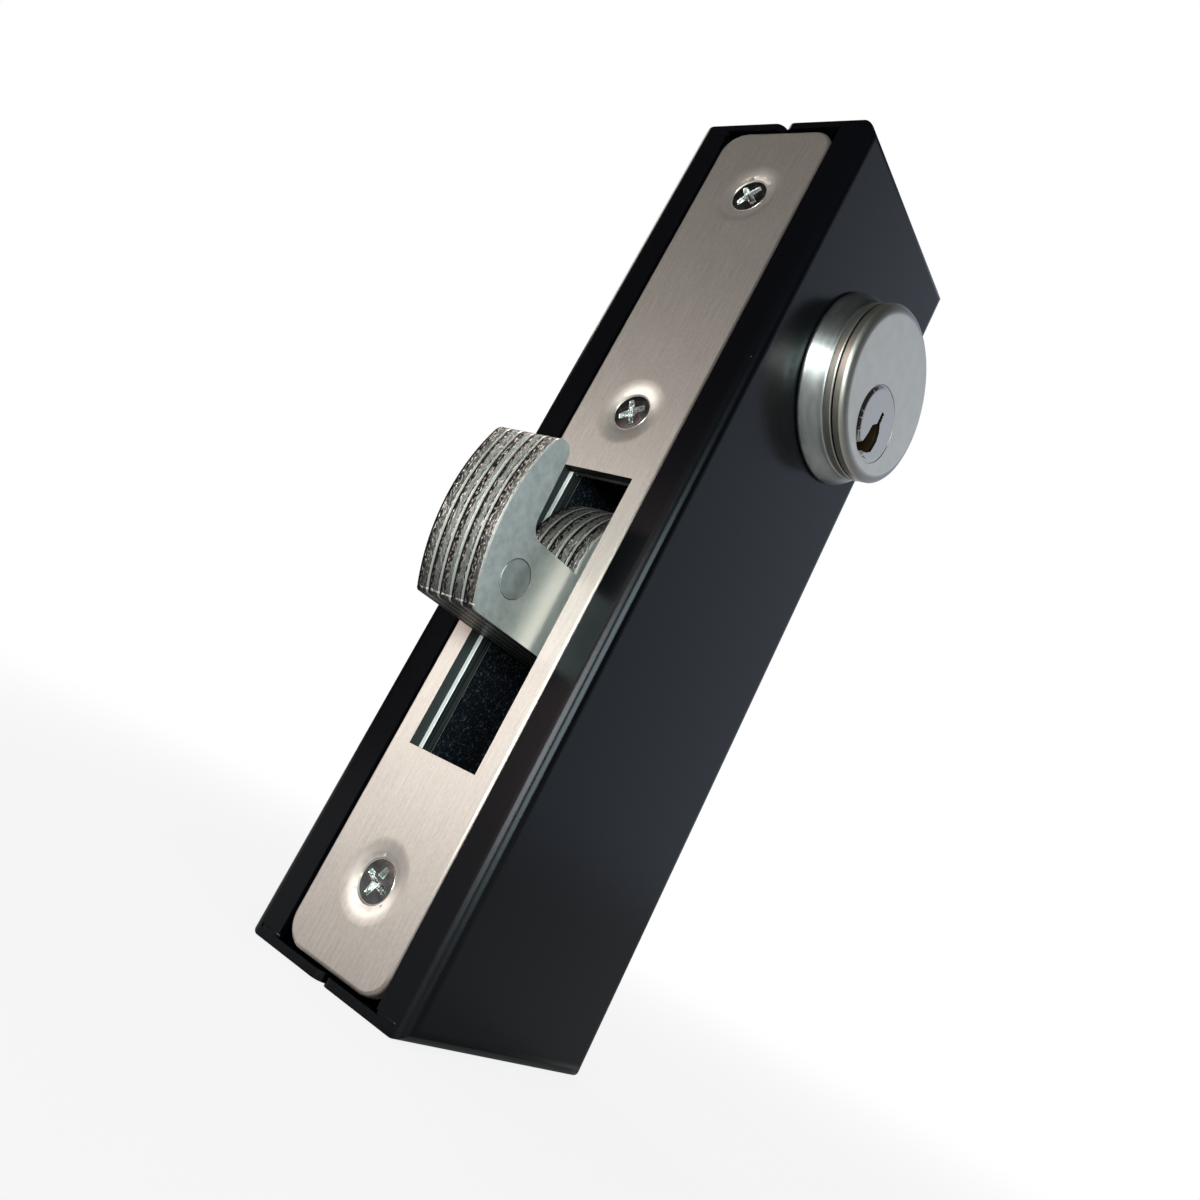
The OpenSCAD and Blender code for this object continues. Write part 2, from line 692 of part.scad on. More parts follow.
// Cylinder shell: round body and domed head, bored for the plug and the pins
module cylinder_shell() {
    lip = 0.3;
    brow = face_x - head_h * 0.42;
    color("#b9bcbd")
    difference() {
        union() {
            turned([[0, head_x], [head_r - lip, head_x], [head_r, head_x + lip],
                    [head_r, brow], [head_r - 0.25, brow + 0.35], [head_r - 0.8, face_x - 0.42],
                    [face_r + 0.6, face_x - 0.12], [face_r, face_x], [0, face_x]]);
            x_cyl(cyl_r, rear_x, head_x + eps, cyl_y, cyl_z);
        }
        x_cyl(plug_r + run_fit, rear_x - 1, face_x + 1, cyl_y, plug_z);
        x_cyl(plug_rim_r + run_fit, face_x - rim_depth, face_x + 1, cyl_y, plug_z);
        for (i = [0 : pin_count - 1])
            translate([first_pin_x - i * pin_pitch, cyl_y, plug_z]) cylinder(r = chamber_r, h = far);
        block([first_pin_x - (pin_count - 1) * pin_pitch - cap_w / 2, cyl_y - cap_w / 2,
               cyl_z + cyl_r - cap_drop],
              [first_pin_x + cap_w / 2, cyl_y + cap_w / 2, cyl_z + far]);
        y_cone(set_screw_r + slot_fit, set_screw_r + slot_fit, front, cyl_y - cyl_r + 1,
               set_screw_x, cyl_z);
    }
}

// Strip that closes the pin chambers
module chamber_cap() {
    color("#c9a24c")
    intersection() {
        block([first_pin_x - (pin_count - 1) * pin_pitch - cap_w / 2 + seat_fit,
               cyl_y - cap_w / 2 + seat_fit, cyl_z + cyl_r - cap_drop],
              [first_pin_x + cap_w / 2 - seat_fit, cyl_y + cap_w / 2 - seat_fit, cyl_z + far]);
        x_cyl(cyl_r, rear_x, head_x, cyl_y, cyl_z);
    }
}

// One row of pins or springs, standing on the plug's axis from one height to the next
module pin_row(r, low, high, tip) {
    for (i = [0 : pin_count - 1])
        translate([first_pin_x - i * pin_pitch, cyl_y, plug_z + low]) {
            cylinder(r1 = r - tip, r2 = r, h = tip + eps);
            translate([0, 0, tip]) cylinder(r = r, h = high - low - tip);
        }
}

pin_r = chamber_r - run_fit - 0.03;
pin_split = plug_r - 0.25;
driver_low = plug_r + run_fit + 0.02;
spring_low = driver_low + driver_len;
spring_high = plug_drop + cyl_r - cap_drop;

// Driver pins, held above the shear line as they are with the key in
module driver_pins() {
    color("#c9a24c") pin_row(pin_r, driver_low, spring_low, driver_tip);
}

// Springs above the driver pins, as plain tubes of their outer size
module pin_springs() {
    color("#9fa3a5")
    difference() {
        pin_row(pin_r - run_fit, spring_low, spring_high, coil_t / 4);
        for (i = [0 : pin_count - 1])
            translate([first_pin_x - i * pin_pitch, cyl_y, plug_z + spring_low - 1])
                cylinder(r = pin_r - run_fit - coil_t, h = far);
    }
}

// Socket set screw through the case's front wall into the cylinder's side
module cylinder_set_screw() {
    color("#55585b")
    difference() {
        y_cone(set_screw_r, set_screw_r, case_y0 + 0.3, cyl_y - cyl_r + 0.8, set_screw_x, cyl_z);
        translate([set_screw_x, case_y0 + 0.2, cyl_z]) rotate([-90, 0, 0])
            cylinder(r = set_screw_r * 0.55, h = 2.6, $fn = 6);
    }
}

// Keyway seen from the front, as shares of the plug's radius: a thin slit over a broad
// foot that breaks the rim
module keyway() {
    translate([cyl_y, plug_z])
        polygon([[-0.09, 0.41], [0.07, 0.41], [0.08, 0.06], [0.25, -0.14], [0.33, -0.41], [0.27, -0.82],
                 [0.03, -1.01], [-0.22, -1.09], [-0.47, -1.34], [-0.72, -1.2], [-0.41, -0.85],
                 [-0.33, -0.54], [-0.3, -0.22], [-0.09, -0.03]] * plug_r);
}

// Key plug with its broad front rim, keyway and pin bores
module key_plug() {
    bevel = plug_rim_r - plug_face_r;
    color("#b3b6b8")
    difference() {
        union() {
            x_cyl(plug_r, rear_x, face_x, cyl_y, plug_z);
            x_cyl(plug_rim_r, face_x - rim_depth + slot_fit, face_x - 0.1, cyl_y, plug_z);
            translate([face_x - 0.1 - eps, cyl_y, plug_z]) rotate([0, 90, 0])
                cylinder(r1 = plug_rim_r, r2 = plug_rim_r - bevel, h = plug_proud + 0.1 + eps);
        }
        side_plate(rear_x - 1, face_x + 2) keyway();
        for (i = [0 : pin_count - 1])
            translate([first_pin_x - i * pin_pitch, cyl_y, plug_z + 1]) cylinder(r = chamber_r, h = far);
        for (s = [-1, 1])
            x_cyl(cam_screw_r + seat_fit, rear_x - 1, rear_x + cam_screw_deep, cyl_y + s * cam_screw_y,
                  plug_z + cam_screw_z);
    }
}

// Key pins, standing in the plug up to the shear line
module key_pins() {
    color("#c9a24c") pin_row(pin_r, key_pin_low, pin_split, key_pin_tip);
}

// Cam on the rear of the plug; its nose reaches into the slide's notch
module plug_cam() {
    dir = 180 + half_plug;
    ny = cyl_y + cam_reach * cos(dir);
    nz = plug_z + cam_reach * sin(dir);
    side = [sin(dir), -cos(dir)] * nose_r;
    root = [sin(dir), -cos(dir)] * cam_hub_r * 0.8;
    color("#b08d4f")
    difference() {
        union() {
            side_plate(cam_x0, cam_x1) union() {
                translate([cyl_y, plug_z]) circle(cam_hub_r);
                translate([ny, nz]) circle(nose_r + cam_rim);
                polygon([[cyl_y, plug_z] + root, [ny, nz] + side, [ny, nz] - side, [cyl_y, plug_z] - root]);
            }
            x_cyl(nose_r, slide_x0, cam_x0 + eps, ny, nz);
        }
        for (s = [-1, 1]) {
            x_cyl(cam_screw_r + slot_fit, cam_x0 - 1, cam_x1 + 1, cyl_y + s * cam_screw_y,
                  plug_z + cam_screw_z);
            x_cyl(cam_screw_r * 1.8 + slot_fit, cam_x0 - 1, cam_x0 + cam_screw_head,
                  cyl_y + s * cam_screw_y, plug_z + cam_screw_z);
        }
    }
}

// Cheese-head screws that hold the cam on the plug
module cam_screws() {
    head_x1 = cam_x0 + cam_screw_head;
    color("#9b9e9f")
    for (s = [-1, 1]) union() {
        x_cyl(cam_screw_r * 1.8, cam_x0, head_x1, cyl_y + s * cam_screw_y, plug_z + cam_screw_z);
        x_cyl(cam_screw_r, head_x1 - eps, rear_x + cam_screw_deep - slide_gap, cyl_y + s * cam_screw_y,
              plug_z + cam_screw_z);
    }
}

// Drive slide: notch for the cam above, stud for the hook below, two guide slots
module drive_slide() {
    color("#8f9291")
    side_plate(slide_x0, slide_x1) difference() {
        polygon([[slide_step, slide_z0], [slide_rear, slide_z0], [slide_rear, guide_z1 + slide_edge * 2],
                 [slide_neck, guide_z1 + slide_edge * 4], [slide_neck, slide_top - slide_edge],
                 [slide_neck - slide_edge, slide_top], [slide_front + slide_edge, slide_top],
                 [slide_front, slide_top - slide_edge], [slide_front, slide_mid],
                 [slide_step, slide_mid]]);
        tall_slot(guide_y0, guide_z0 - slide_travel - slot_end, guide_z0, guide_half);
        tall_slot(guide_y1, guide_z1 - slide_travel - slot_end, guide_z1, guide_half);
        translate([notch_y0 + notch_half, notch_z - notch_half])
            square([notch_y1 - notch_y0 - 2 * notch_half, 2 * notch_half]);
        for (y = [notch_y0 + notch_half, notch_y1 - notch_half])
            translate([y, notch_z]) circle(notch_half);
        translate([stud_y, stud_z]) circle(stud_r + seat_fit);
    }
}

// Stud riveted into the slide, running in the hook's slot
module drive_stud() {
    color("#a9abaa")
    union() {
        x_cyl(stud_r, slide_x0, hook_x0 + 3 * ply_t, stud_y, stud_z);
        x_cyl(stud_r + 0.8, slide_x0 - 0.3, slide_x0, stud_y, stud_z);
    }
}

// Outline of a hook plate about the pivot, thrown: beak, throat, neck and lobes
module hook_outline() {
    tip_y = -sqrt(pow(hook_r - tip_r, 2) - pow(tip_up, 2));
    tail_y = sqrt(pow(rear_lobe_r, 2) - pow(heel_drop, 2));
    heel_z = heel_r - heel_drop;
    heel_y = -sqrt(pow(hook_r - heel_r, 2) - pow(heel_z, 2));
    difference() {
        union() {
            intersection() {
                circle(hook_r, $fn = 180);
                union() {
                    translate([heel_y, -heel_drop]) square([-heel_y, heel_drop - throat_drop]);
                    polygon([[-hook_r, heel_z], [-beak_in, heel_z], [-beak_in, 0],
                             [tip_y + tip_r, tip_up], [tip_y, tip_up], [tip_y - tip_r, tip_up + tip_r / 2],
                             [-hook_r, tip_up]]);
                    translate([-beak_in - eps, -throat_drop - eps])
                        square([throat_r + eps, throat_r + eps]);
                }
            }
            translate([heel_y, heel_z]) circle(heel_r);
            translate([tip_y, tip_up]) circle(tip_r);
            circle(lobe_r);
            intersection() {
                circle(rear_lobe_r);
                translate([0, -heel_drop]) square([rear_lobe_r, heel_drop + lobe_r / 3]);
            }
            translate([-lobe_r, -heel_drop]) square([lobe_r + tail_y, heel_drop - lobe_r / 2]);
        }
        translate([-beak_in + throat_r, -throat_drop + throat_r]) circle(throat_r);
    }
}

// Drive slot in the hook's rear lobe, along the line that bisects the turn
module hook_slot() {
    rotate(-half_hook) {
        translate([hook_slot_in + hook_slot_half, -hook_slot_half])
            square([hook_slot_out - hook_slot_in - 2 * hook_slot_half, 2 * hook_slot_half]);
        for (r = [hook_slot_in + hook_slot_half, hook_slot_out - hook_slot_half])
            translate([r, 0]) circle(hook_slot_half);
    }
}

// Places of the hook's rivets about the pivot
rivet_yz = [[-rivet_fwd, -rivet_drop], [-rivet_drop, -rivet_drop],
            [rear_rivet * sin(15), rear_rivet * cos(15)]];

// One plate of the laminated hook, counted from the left
module hook_plate(i) {
    color(i % 2 == 0 ? "#7f8684" : "#8c9391")
    side_plate(hook_x0 + i * ply_t, hook_x0 + (i + 1) * ply_t) translate([pivot_y, pivot_z])
        difference() {
            hook_outline();
            circle(pivot_r + run_fit);
            hook_slot();
            for (p = rivet_yz) translate(p) circle(rivet_r + seat_fit);
        }
}

module hook_plate_1() { hook_plate(0); }
module hook_plate_2() { hook_plate(1); }
module hook_plate_3() { hook_plate(2); }
module hook_plate_4() { hook_plate(3); }
module hook_plate_5() { hook_plate(4); }

// Flush rivets through the hook's plates
module hook_rivets() {
    color("#8c9391")
    for (p = rivet_yz) x_cyl(rivet_r, hook_x0, -hook_x0, pivot_y + p[0], pivot_z + p[1]);
}

lock_box();
upper_tab();
lower_tab();
faceplate();
faceplate_screws();
lock_case();
case_cover();
cover_screws();
bolt_guides();
pivot_pin();
pivot_spacers();
guide_studs();
friction_spring();
spring_rivet();
cylinder_collar();
spacer_ring();
cylinder_shell();
chamber_cap();
driver_pins();
pin_springs();
cylinder_set_screw();
key_plug();
key_pins();
plug_cam();
cam_screws();
drive_slide();
drive_stud();
hook_plate_1();
hook_plate_2();
hook_plate_3();
hook_plate_4();
hook_plate_5();
hook_rivets();
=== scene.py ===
"""Hook lock: a black folded lock box with a brushed faceplate, a laminated hook and a key cylinder.

The sections follow the lock as it is put together. Blender works in metres in the CAD's own frame, so
sizes are written as millimetres times MM: +X is the cylinder's side, -Y the faceplate's, +Z up the box.
"""
import math

import bmesh
import bpy
import numpy as np
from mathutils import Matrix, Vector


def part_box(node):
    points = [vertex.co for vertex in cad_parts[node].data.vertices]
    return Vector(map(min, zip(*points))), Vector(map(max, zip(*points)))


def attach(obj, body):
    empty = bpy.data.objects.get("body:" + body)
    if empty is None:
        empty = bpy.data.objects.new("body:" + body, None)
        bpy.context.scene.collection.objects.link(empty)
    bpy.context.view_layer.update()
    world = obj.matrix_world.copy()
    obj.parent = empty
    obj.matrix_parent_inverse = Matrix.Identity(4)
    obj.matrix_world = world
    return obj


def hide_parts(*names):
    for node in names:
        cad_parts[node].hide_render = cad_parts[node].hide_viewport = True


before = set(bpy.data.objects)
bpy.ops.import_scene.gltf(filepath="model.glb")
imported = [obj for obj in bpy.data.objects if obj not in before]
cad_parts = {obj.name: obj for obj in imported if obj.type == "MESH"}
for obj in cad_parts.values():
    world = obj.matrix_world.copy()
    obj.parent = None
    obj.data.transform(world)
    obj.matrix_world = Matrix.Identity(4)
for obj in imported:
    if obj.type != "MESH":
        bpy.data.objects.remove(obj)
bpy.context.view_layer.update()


# Camera. It stands low at the front right, 36 mm over the floor, and looks up at the lock. Its lens is
# short, so the box narrows strongly upwards, as it does in the photograph, whose points gave the numbers.
MM = 0.001
scene = bpy.context.scene
eye = bpy.data.cameras.new("camera")
eye.sensor_fit, eye.sensor_width, eye.lens = "HORIZONTAL", 36.0, 31.854
eye.shift_x, eye.shift_y = -0.03388, -0.02827
eye.clip_start, eye.clip_end = 10 * MM, 50000 * MM
camera = bpy.data.objects.new("camera", eye)
camera.location = (125.06 * MM, -156.80 * MM, 35.94 * MM)
camera.rotation_euler = [math.radians(a) for a in (106.5138, -26.3726, 31.4070)]
scene.collection.objects.link(camera)
scene.camera = camera


# Studio. A pale floor and backdrop, white to the camera; the metal mirrors the backdrop as a bluish wall
# of a darker room. Three low soft lamps stand round the camera, with gaps between them: the right front
# bend shows them as a double line. A fourth lamp stands high at the left.
def lin(code):
    """Linear colour of an sRGB hex code: each share v goes through the sRGB curve, alpha is 1."""
    v = np.array([int(code[i:i + 2], 16) / 255 for i in (1, 3, 5)])
    return (*np.where(v <= 0.04045, v / 12.92, ((v + 0.055) / 1.055) ** 2.4).tolist(), 1.0)


def put(tree, kind, sockets=None, **settings):
    """Adds one node. settings are its own options; sockets maps an input's name or number to a value or
    to the output of another node, which is linked to it. Numbers that recur: Map Range takes a value at
    0, its range at 1 and 2 and the new range at 3 and 4, or 0 to 1 without them. Mix takes a factor at 0,
    numbers at 2 and 3 or colours at 6 and 7, and gives a colour at output 2. Mapping takes a vector at 0,
    a shift at 1 and a scale at 3."""
    node = tree.nodes.new("ShaderNode" + kind)
    for key, value in settings.items():
        setattr(node, key, value)
    for key, value in (sockets or {}).items():
        if isinstance(value, bpy.types.NodeSocket):
            tree.links.new(value, node.inputs[key])
        else:
            node.inputs[key].default_value = value
    return node


def empty_finish(name):
    """A new material without nodes: returns it and its tree."""
    finish = bpy.data.materials.new(name)
    finish.use_nodes = True
    finish.node_tree.nodes.clear()
    return finish, finish.node_tree


scene.view_settings.view_transform = "Standard"
world = bpy.data.worlds.new("studio")
scene.world = world
world.use_nodes = True
sky = world.node_tree
sky.nodes.clear()
white = lin("#ffffff")
ray = put(sky, "LightPath")
# the y share of a direction is the cosine of its angle to +Y: the backdrop fades in from 73 to 37 degrees
way = put(sky, "SeparateXYZ", {0: put(sky, "TexCoord").outputs["Generated"]})
backdrop = put(sky, "MapRange", {0: way.outputs[1], 1: 0.3, 2: 0.8}, interpolation_type="SMOOTHSTEP")
room = put(sky, "Mix", {0: backdrop.outputs[0], 6: lin("#2e2b2a"), 7: lin("#c4cedd")}, data_type="RGBA")
seen = put(sky, "Background", {0: white, 1: 1.0})
mirrored = put(sky, "Background", {0: room.outputs[2], 1: 1.0})
fill = put(sky, "Background", {0: white, 1: 0.3})
gloss_or_glass = put(sky, "Math", {0: ray.outputs["Is Glossy Ray"], 1: ray.outputs["Is Transmission Ray"]},
                     operation="MAXIMUM")
other = put(sky, "MixShader", {0: gloss_or_glass.outputs[0], 1: fill.outputs[0], 2: mirrored.outputs[0]})
whole = put(sky, "MixShader", {0: ray.outputs["Is Camera Ray"], 1: other.outputs[0], 2: seen.outputs[0]})
put(sky, "OutputWorld", {0: whole.outputs[0]})

# the floor is a sheet of white paper, a hair under the box so that the two share no plane
floor_half, floor_drop = 1600 * MM, 0.2 * MM
floor_mesh = bpy.data.meshes.new("floor")
corners = [(x * floor_half, y * floor_half, 0) for x, y in ((-1, -1), (1, -1), (1, 1), (-1, 1))]
floor_mesh.from_pydata(corners, [], [(0, 1, 2, 3)])
floor = bpy.data.objects.new("floor", floor_mesh)
scene.collection.objects.link(floor)
floor.location.z = -floor_drop
paper, tree = empty_finish("white_table_paper")
ray = put(tree, "LightPath")
sheet = put(tree, "BsdfDiffuse", {0: lin("#d2d2d2")})
glow = put(tree, "Emission", {0: white, 1: 1.0})
# near the lock the camera sees a seventh of the paper's own shading, which keeps a faint shadow, and from
# 400 mm out pure white
off = put(tree, "VectorMath", {0: put(tree, "TexCoord").outputs["Object"]}, operation="LENGTH")
fade = put(tree, "MapRange", {0: off.outputs["Value"], 1: 80 * MM, 2: 400 * MM, 3: 0.86, 4: 1.0},
           interpolation_type="SMOOTHSTEP")
lit = put(tree, "Math", {0: ray.outputs["Is Camera Ray"], 1: fade.outputs[0]}, operation="MULTIPLY")
both = put(tree, "MixShader", {0: lit.outputs[0], 1: sheet.outputs[0], 2: glow.outputs[0]})
put(tree, "OutputMaterial", {0: both.outputs[0]})
floor_mesh.materials.append(paper)

# each lamp's name, its place and the point that it faces, its width and height, all in metres, its watts
# and its colour
for name, place, aim, (width, height), watts, colour in (
        ("lamp_front_left", (-0.44, -1.00, 0.23), (0, -0.02, 0.09), (0.62, 0.42), 1.15, "#ffe3da"),
        ("lamp_front", (0.25, -1.08, 0.145), (0, -0.02, 0.09), (0.70, 0.28), 7.6, "#f5faf7"),
        ("lamp_right", (0.97, -0.53, 0.21), (0, -0.02, 0.09), (0.62, 0.40), 7.6, "#e2f5f1"),
        ("lamp_left_high", (-1.0, 0.1, 0.9), (0, 0, 0.09), (0.6, 0.6), 3.5, "#fff8f0")):
    lamp = bpy.data.lights.new(name, "AREA")
    lamp.shape, lamp.size, lamp.size_y, lamp.energy = "RECTANGLE", width, height, watts
    lamp.color = lin(colour)[:3]
    holder = bpy.data.objects.new(name, lamp)
    holder.location = place
    away = np.array(place) - np.array(aim)
    holder.rotation_euler = (math.atan2(math.hypot(away[0], away[1]), away[2]), 0,
                             math.atan2(away[1], away[0]) + math.pi / 2)
    scene.collection.objects.link(holder)


# Lock box. One steel sheet, 1.5 mm, folded to 40.6 x 51 x 178 mm and welded, with two tabs inside for the
# faceplate's screws, and powder coated black all over. The coat rounds every cut edge, which a bevelled
# copy shows here, and lies with a faint orange peel.
def coated_copy(node, body, finish, radius, segments=3, angle=35, press=None):
    """A merged copy of a CAD node that stands for it: points within 0.002 mm joined, facets within 0.6
    degrees dissolved, press called on it where given, every edge sharper than angle degrees rounded to
    radius metres, and the shading smooth across what is left but true on the flats, whose larger faces
    count for more."""
    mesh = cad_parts[node].data.copy()
    mesh.name = node + "_dressed"
    shape = bmesh.new()
    shape.from_mesh(mesh)
    bmesh.ops.remove_doubles(shape, verts=shape.verts, dist=0.002 * MM)
    bmesh.ops.dissolve_limit(shape, angle_limit=math.radians(0.6), verts=shape.verts, edges=shape.edges)
    if press:
        press(shape)
    shape.to_mesh(mesh)
    shape.free()
    mesh.materials.clear()
    mesh.materials.append(finish)
    mesh.shade_smooth()
    mesh.set_sharp_from_angle(angle=math.radians(angle))
    piece = bpy.data.objects.new(node + "_dressed", mesh)
    scene.collection.objects.link(piece)
    rim = piece.modifiers.new("worn_edges", "BEVEL")
    rim.width, rim.segments, rim.limit_method = radius, segments, "ANGLE"
    rim.angle_limit = math.radians(angle)
    rim.use_clamp_overlap, rim.miter_outer = True, "MITER_ARC"
    flats = piece.modifiers.new("true_flats", "WEIGHTED_NORMAL")
    flats.keep_sharp, flats.weight = True, 80
    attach(piece, body)
    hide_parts(node)


def repaint(finish, *nodes):
    """Gives CAD nodes whose shape is right as it is a finish in their material slot."""
    for node in nodes:
        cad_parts[node].data.materials[0] = finish


coat, tree = empty_finish("black_powder_coat")
# baked powder: a soft sheen broken by orange peel 1.2 mm across and by its grain, drawn 0.3 mm across so
# that it shows; about one cell of 2.4 mm in eighty carries a pale fleck of dust, 0.4 mm across
spot = put(tree, "TexCoord").outputs["Object"]
peel = put(tree, "TexNoise", {0: spot, "Scale": 0.85 / MM, "Detail": 2.0})
grain = put(tree, "TexNoise", {0: spot, "Scale": 3.6 / MM, "Detail": 1.0})
rough = put(tree, "MapRange", {0: grain.outputs[0], 1: 0.3, 2: 0.7, 3: 0.2, 4: 0.24})
relief = put(tree, "Mix", {0: 0.3, 2: peel.outputs[0], 3: grain.outputs[0]}, data_type="FLOAT")
bump = put(tree, "Bump", {"Strength": 0.07, "Distance": 0.12 * MM, "Height": relief.outputs[0]})
dust = put(tree, "TexVoronoi", {0: spot, "Scale": 0.42 / MM, "Randomness": 1.0})
fleck = put(tree, "MapRange", {0: dust.outputs["Distance"], 1: 0.1, 2: 0.07})
lot = put(tree, "SeparateColor", {0: dust.outputs["Color"]})
rare = put(tree, "MapRange", {0: lot.outputs[0], 1: 0.985, 2: 0.99, 3: 0.0, 4: 0.6})
spots = put(tree, "Math", {0: fleck.outputs[0], 1: rare.outputs[0]}, operation="MULTIPLY")
black = put(tree, "Mix", {0: spots.outputs[0], 6: lin("#040508"), 7: lin("#aab0b8")}, data_type="RGBA")
shader = put(tree, "BsdfPrincipled", {
    "Base Color": black.outputs[2], "Roughness": rough.outputs[0], "Normal": bump.outputs[0],
    "Specular IOR Level": 0.28, "Specular Tint": lin("#edf1f9")})
put(tree, "OutputMaterial", {0: shader.outputs[0]})
coated_copy("lock_box", "lock", coat, 0.35 * MM)
repaint(coat, "upper_tab", "lower_tab")


# Welds of the box. Each lip's lower and upper end is welded to the flap beside it and ground flush before
# coating, which leaves a flat bar of weld in the 0.6 mm relief, here 1.3 mm wide over the rounded edges.
weld_x, weld_y = 15.45 * MM, -24.77 * MM
weld_half_length, weld_depth, weld_half_height = 2.45 * MM, 0.75 * MM, 0.65 * MM


def surface_mesh(name, points, finish):
    """A closed mesh from a grid of points (rows, columns, 3): columns run once round, so the last joins
    the first, and the first and last rows close to a pole each. Faces point outwards where rows run
    along +Y and columns turn from +X to +Z, or rows along +X and columns from -Y to +Z."""
    rows, columns = points.shape[:2]
    index = np.arange(rows * columns).reshape(rows, columns)
    beside = np.roll(index, -1, axis=1)
    quads = np.stack([index[:-1], index[1:], beside[1:], beside[:-1]], axis=-1).reshape(-1, 4)
    ends = np.concatenate([points[0].mean(0)[None], points[-1].mean(0)[None]])
    tips = np.concatenate([
        np.stack([np.full(columns, rows * columns), index[0], beside[0]], axis=-1),
        np.stack([np.full(columns, rows * columns + 1), beside[-1], index[-1]], axis=-1)])
    mesh = bpy.data.meshes.new(name)
    mesh.from_pydata(np.concatenate([points.reshape(-1, 3), ends]).tolist(), [],
                     quads.tolist() + tips.tolist())
    mesh.materials.append(finish)
    mesh.shade_smooth()
    piece = bpy.data.objects.new(name, mesh)
    scene.collection.objects.link(piece)
    return piece


def ground_weld(name, side, centre_z):
    """A bar along X whose section is a superellipse of exponent 3, weld_depth deep and weld_half_height
    high each way; it shrinks towards both ends by the square root of one minus t to the 6th, and t stops
    just short of the ends, where nothing would be left of it."""
    t = np.linspace(-0.985, 0.985, 24)[:, None]
    around = np.linspace(0, 2 * np.pi, 48, endpoint=False)[None, :]
    squash = np.sqrt(1 - t ** 6)
    c, s = np.cos(around), np.sin(around)
    x = side * weld_x + weld_half_length * t + 0 * around
    y = weld_y - weld_depth * squash * np.sign(c) * np.abs(c) ** (2 / 3)
    z = centre_z + weld_half_height * squash * np.sign(s) * np.abs(s) ** (2 / 3)
    bar = surface_mesh(name, np.stack([x, y, z], axis=-1), coat)
    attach(bar, "lock")


for side, hand in ((-1, "left"), (1, "right")):
    ground_weld(f"weld_{hand}_lower", side, 1.8 * MM)
    ground_weld(f"weld_{hand}_upper", side, 176.2 * MM)


# Lock case and its cover. Pressed from dull rolled sheet; the cover goes on the open side with four screws
# and the friction spring is riveted inside. All of it stays behind the faceplate.
pressed, tree = empty_finish("dull_rolled_sheet")
# rolling leaves faint lengthwise streaks, 0.4 mm apart here so that they show, and a cloudy oiled tone
spot = put(tree, "TexCoord").outputs["Object"]
along = put(tree, "Mapping", {0: spot, 3: (2.6 / MM, 2.6 / MM, 0.04 / MM)})
streak = put(tree, "TexNoise", {0: along.outputs[0], "Scale": 1.0, "Detail": 2.0})
cloud = put(tree, "TexNoise", {0: spot, "Scale": 0.12 / MM, "Detail": 3.0})
tone = put(tree, "Mix", {0: cloud.outputs[0], 6: lin("#8e908f"), 7: lin("#b2b3b1")}, data_type="RGBA")
rough = put(tree, "MapRange", {0: streak.outputs[0], 1: 0.3, 2: 0.7, 3: 0.34, 4: 0.55})
bump = put(tree, "Bump", {"Strength": 0.2, "Distance": 0.03 * MM, "Height": streak.outputs[0]})
shader = put(tree, "BsdfPrincipled", {
    "Base Color": tone.outputs[2], "Roughness": rough.outputs[0], "Metallic": 1.0,
    "Normal": bump.outputs[0]})
put(tree, "OutputMaterial", {0: shader.outputs[0]})
repaint(pressed, "lock_case", "case_cover")


# Black screws. The four that hold the case's cover, the set screw that holds the cylinder, and the two
# that hold the cam on the plug. Headed and threaded from steel wire, then blackened in an oxide bath.
oxide, tree = empty_finish("black_oxide")
# the oxide is dark and lets a little more light through on the high grain, 0.4 mm across so that it shows
spot = put(tree, "TexCoord").outputs["Object"]
grain = put(tree, "TexNoise", {0: spot, "Scale": 2.5 / MM, "Detail": 2.0})
tone = put(tree, "Mix", {0: grain.outputs[0], 6: lin("#2a2a2c"), 7: lin("#4c4c50")}, data_type="RGBA")
shader = put(tree, "BsdfPrincipled", {"Base Color": tone.outputs[2], "Metallic": 1.0, "Roughness": 0.42})
put(tree, "OutputMaterial", {0: shader.outputs[0]})
repaint(oxide, "cover_screws", "cylinder_set_screw", "cam_screws")


# Bolt guides. Two dark oiled plates beside the hook, sheared from sheet, so their front edges are cut
# bright. The left one's inner face shows through the slot over and under the hook.
oiled, tree = empty_finish("dark_oiled_guide_steel")
# oil has dried to a black film with pale specks of 0.4 mm; the front 2.6 mm of the inner faces were skimmed
# and carry lines along Z, 0.4 mm apart so that they show; the sheared front edge is bright, and a scored
# line ends the skimmed part
spot = put(tree, "TexCoord")
axis = put(tree, "SeparateXYZ", {0: spot.outputs["Object"]})
facing = put(tree, "SeparateXYZ", {0: spot.outputs["Normal"]})
ahead = put(tree, "MapRange", {0: axis.outputs[1], 1: -20.1 * MM, 2: -20.3 * MM})
rim = put(tree, "MapRange", {0: facing.outputs[1], 1: -0.25, 2: -0.6})
from_score = put(tree, "Math", {0: axis.outputs[1], 1: 20.32 * MM}, operation="ADD")
beside_score = put(tree, "Math", {0: from_score.outputs[0]}, operation="ABSOLUTE")
score = put(tree, "MapRange", {0: beside_score.outputs[0], 1: 0.16 * MM, 2: 0.08 * MM})
along = put(tree, "Mapping", {0: spot.outputs["Object"], 3: (4.2 / MM, 2.6 / MM, 0.03 / MM)})
lines = put(tree, "TexNoise", {0: along.outputs[0], "Scale": 1.0, "Detail": 2.0})
specks = put(tree, "TexNoise", {0: spot.outputs["Object"], "Scale": 2.3 / MM, "Detail": 2.0,
                                "Roughness": 0.7})
speck = put(tree, "MapRange", {0: specks.outputs[0], 1: 0.56, 2: 0.72})
film = put(tree, "Mix", {0: speck.outputs[0], 6: lin("#232a34"), 7: lin("#98a2ab")}, data_type="RGBA")
groove = put(tree, "MapRange", {0: lines.outputs[0], 1: 0.4, 2: 0.62})
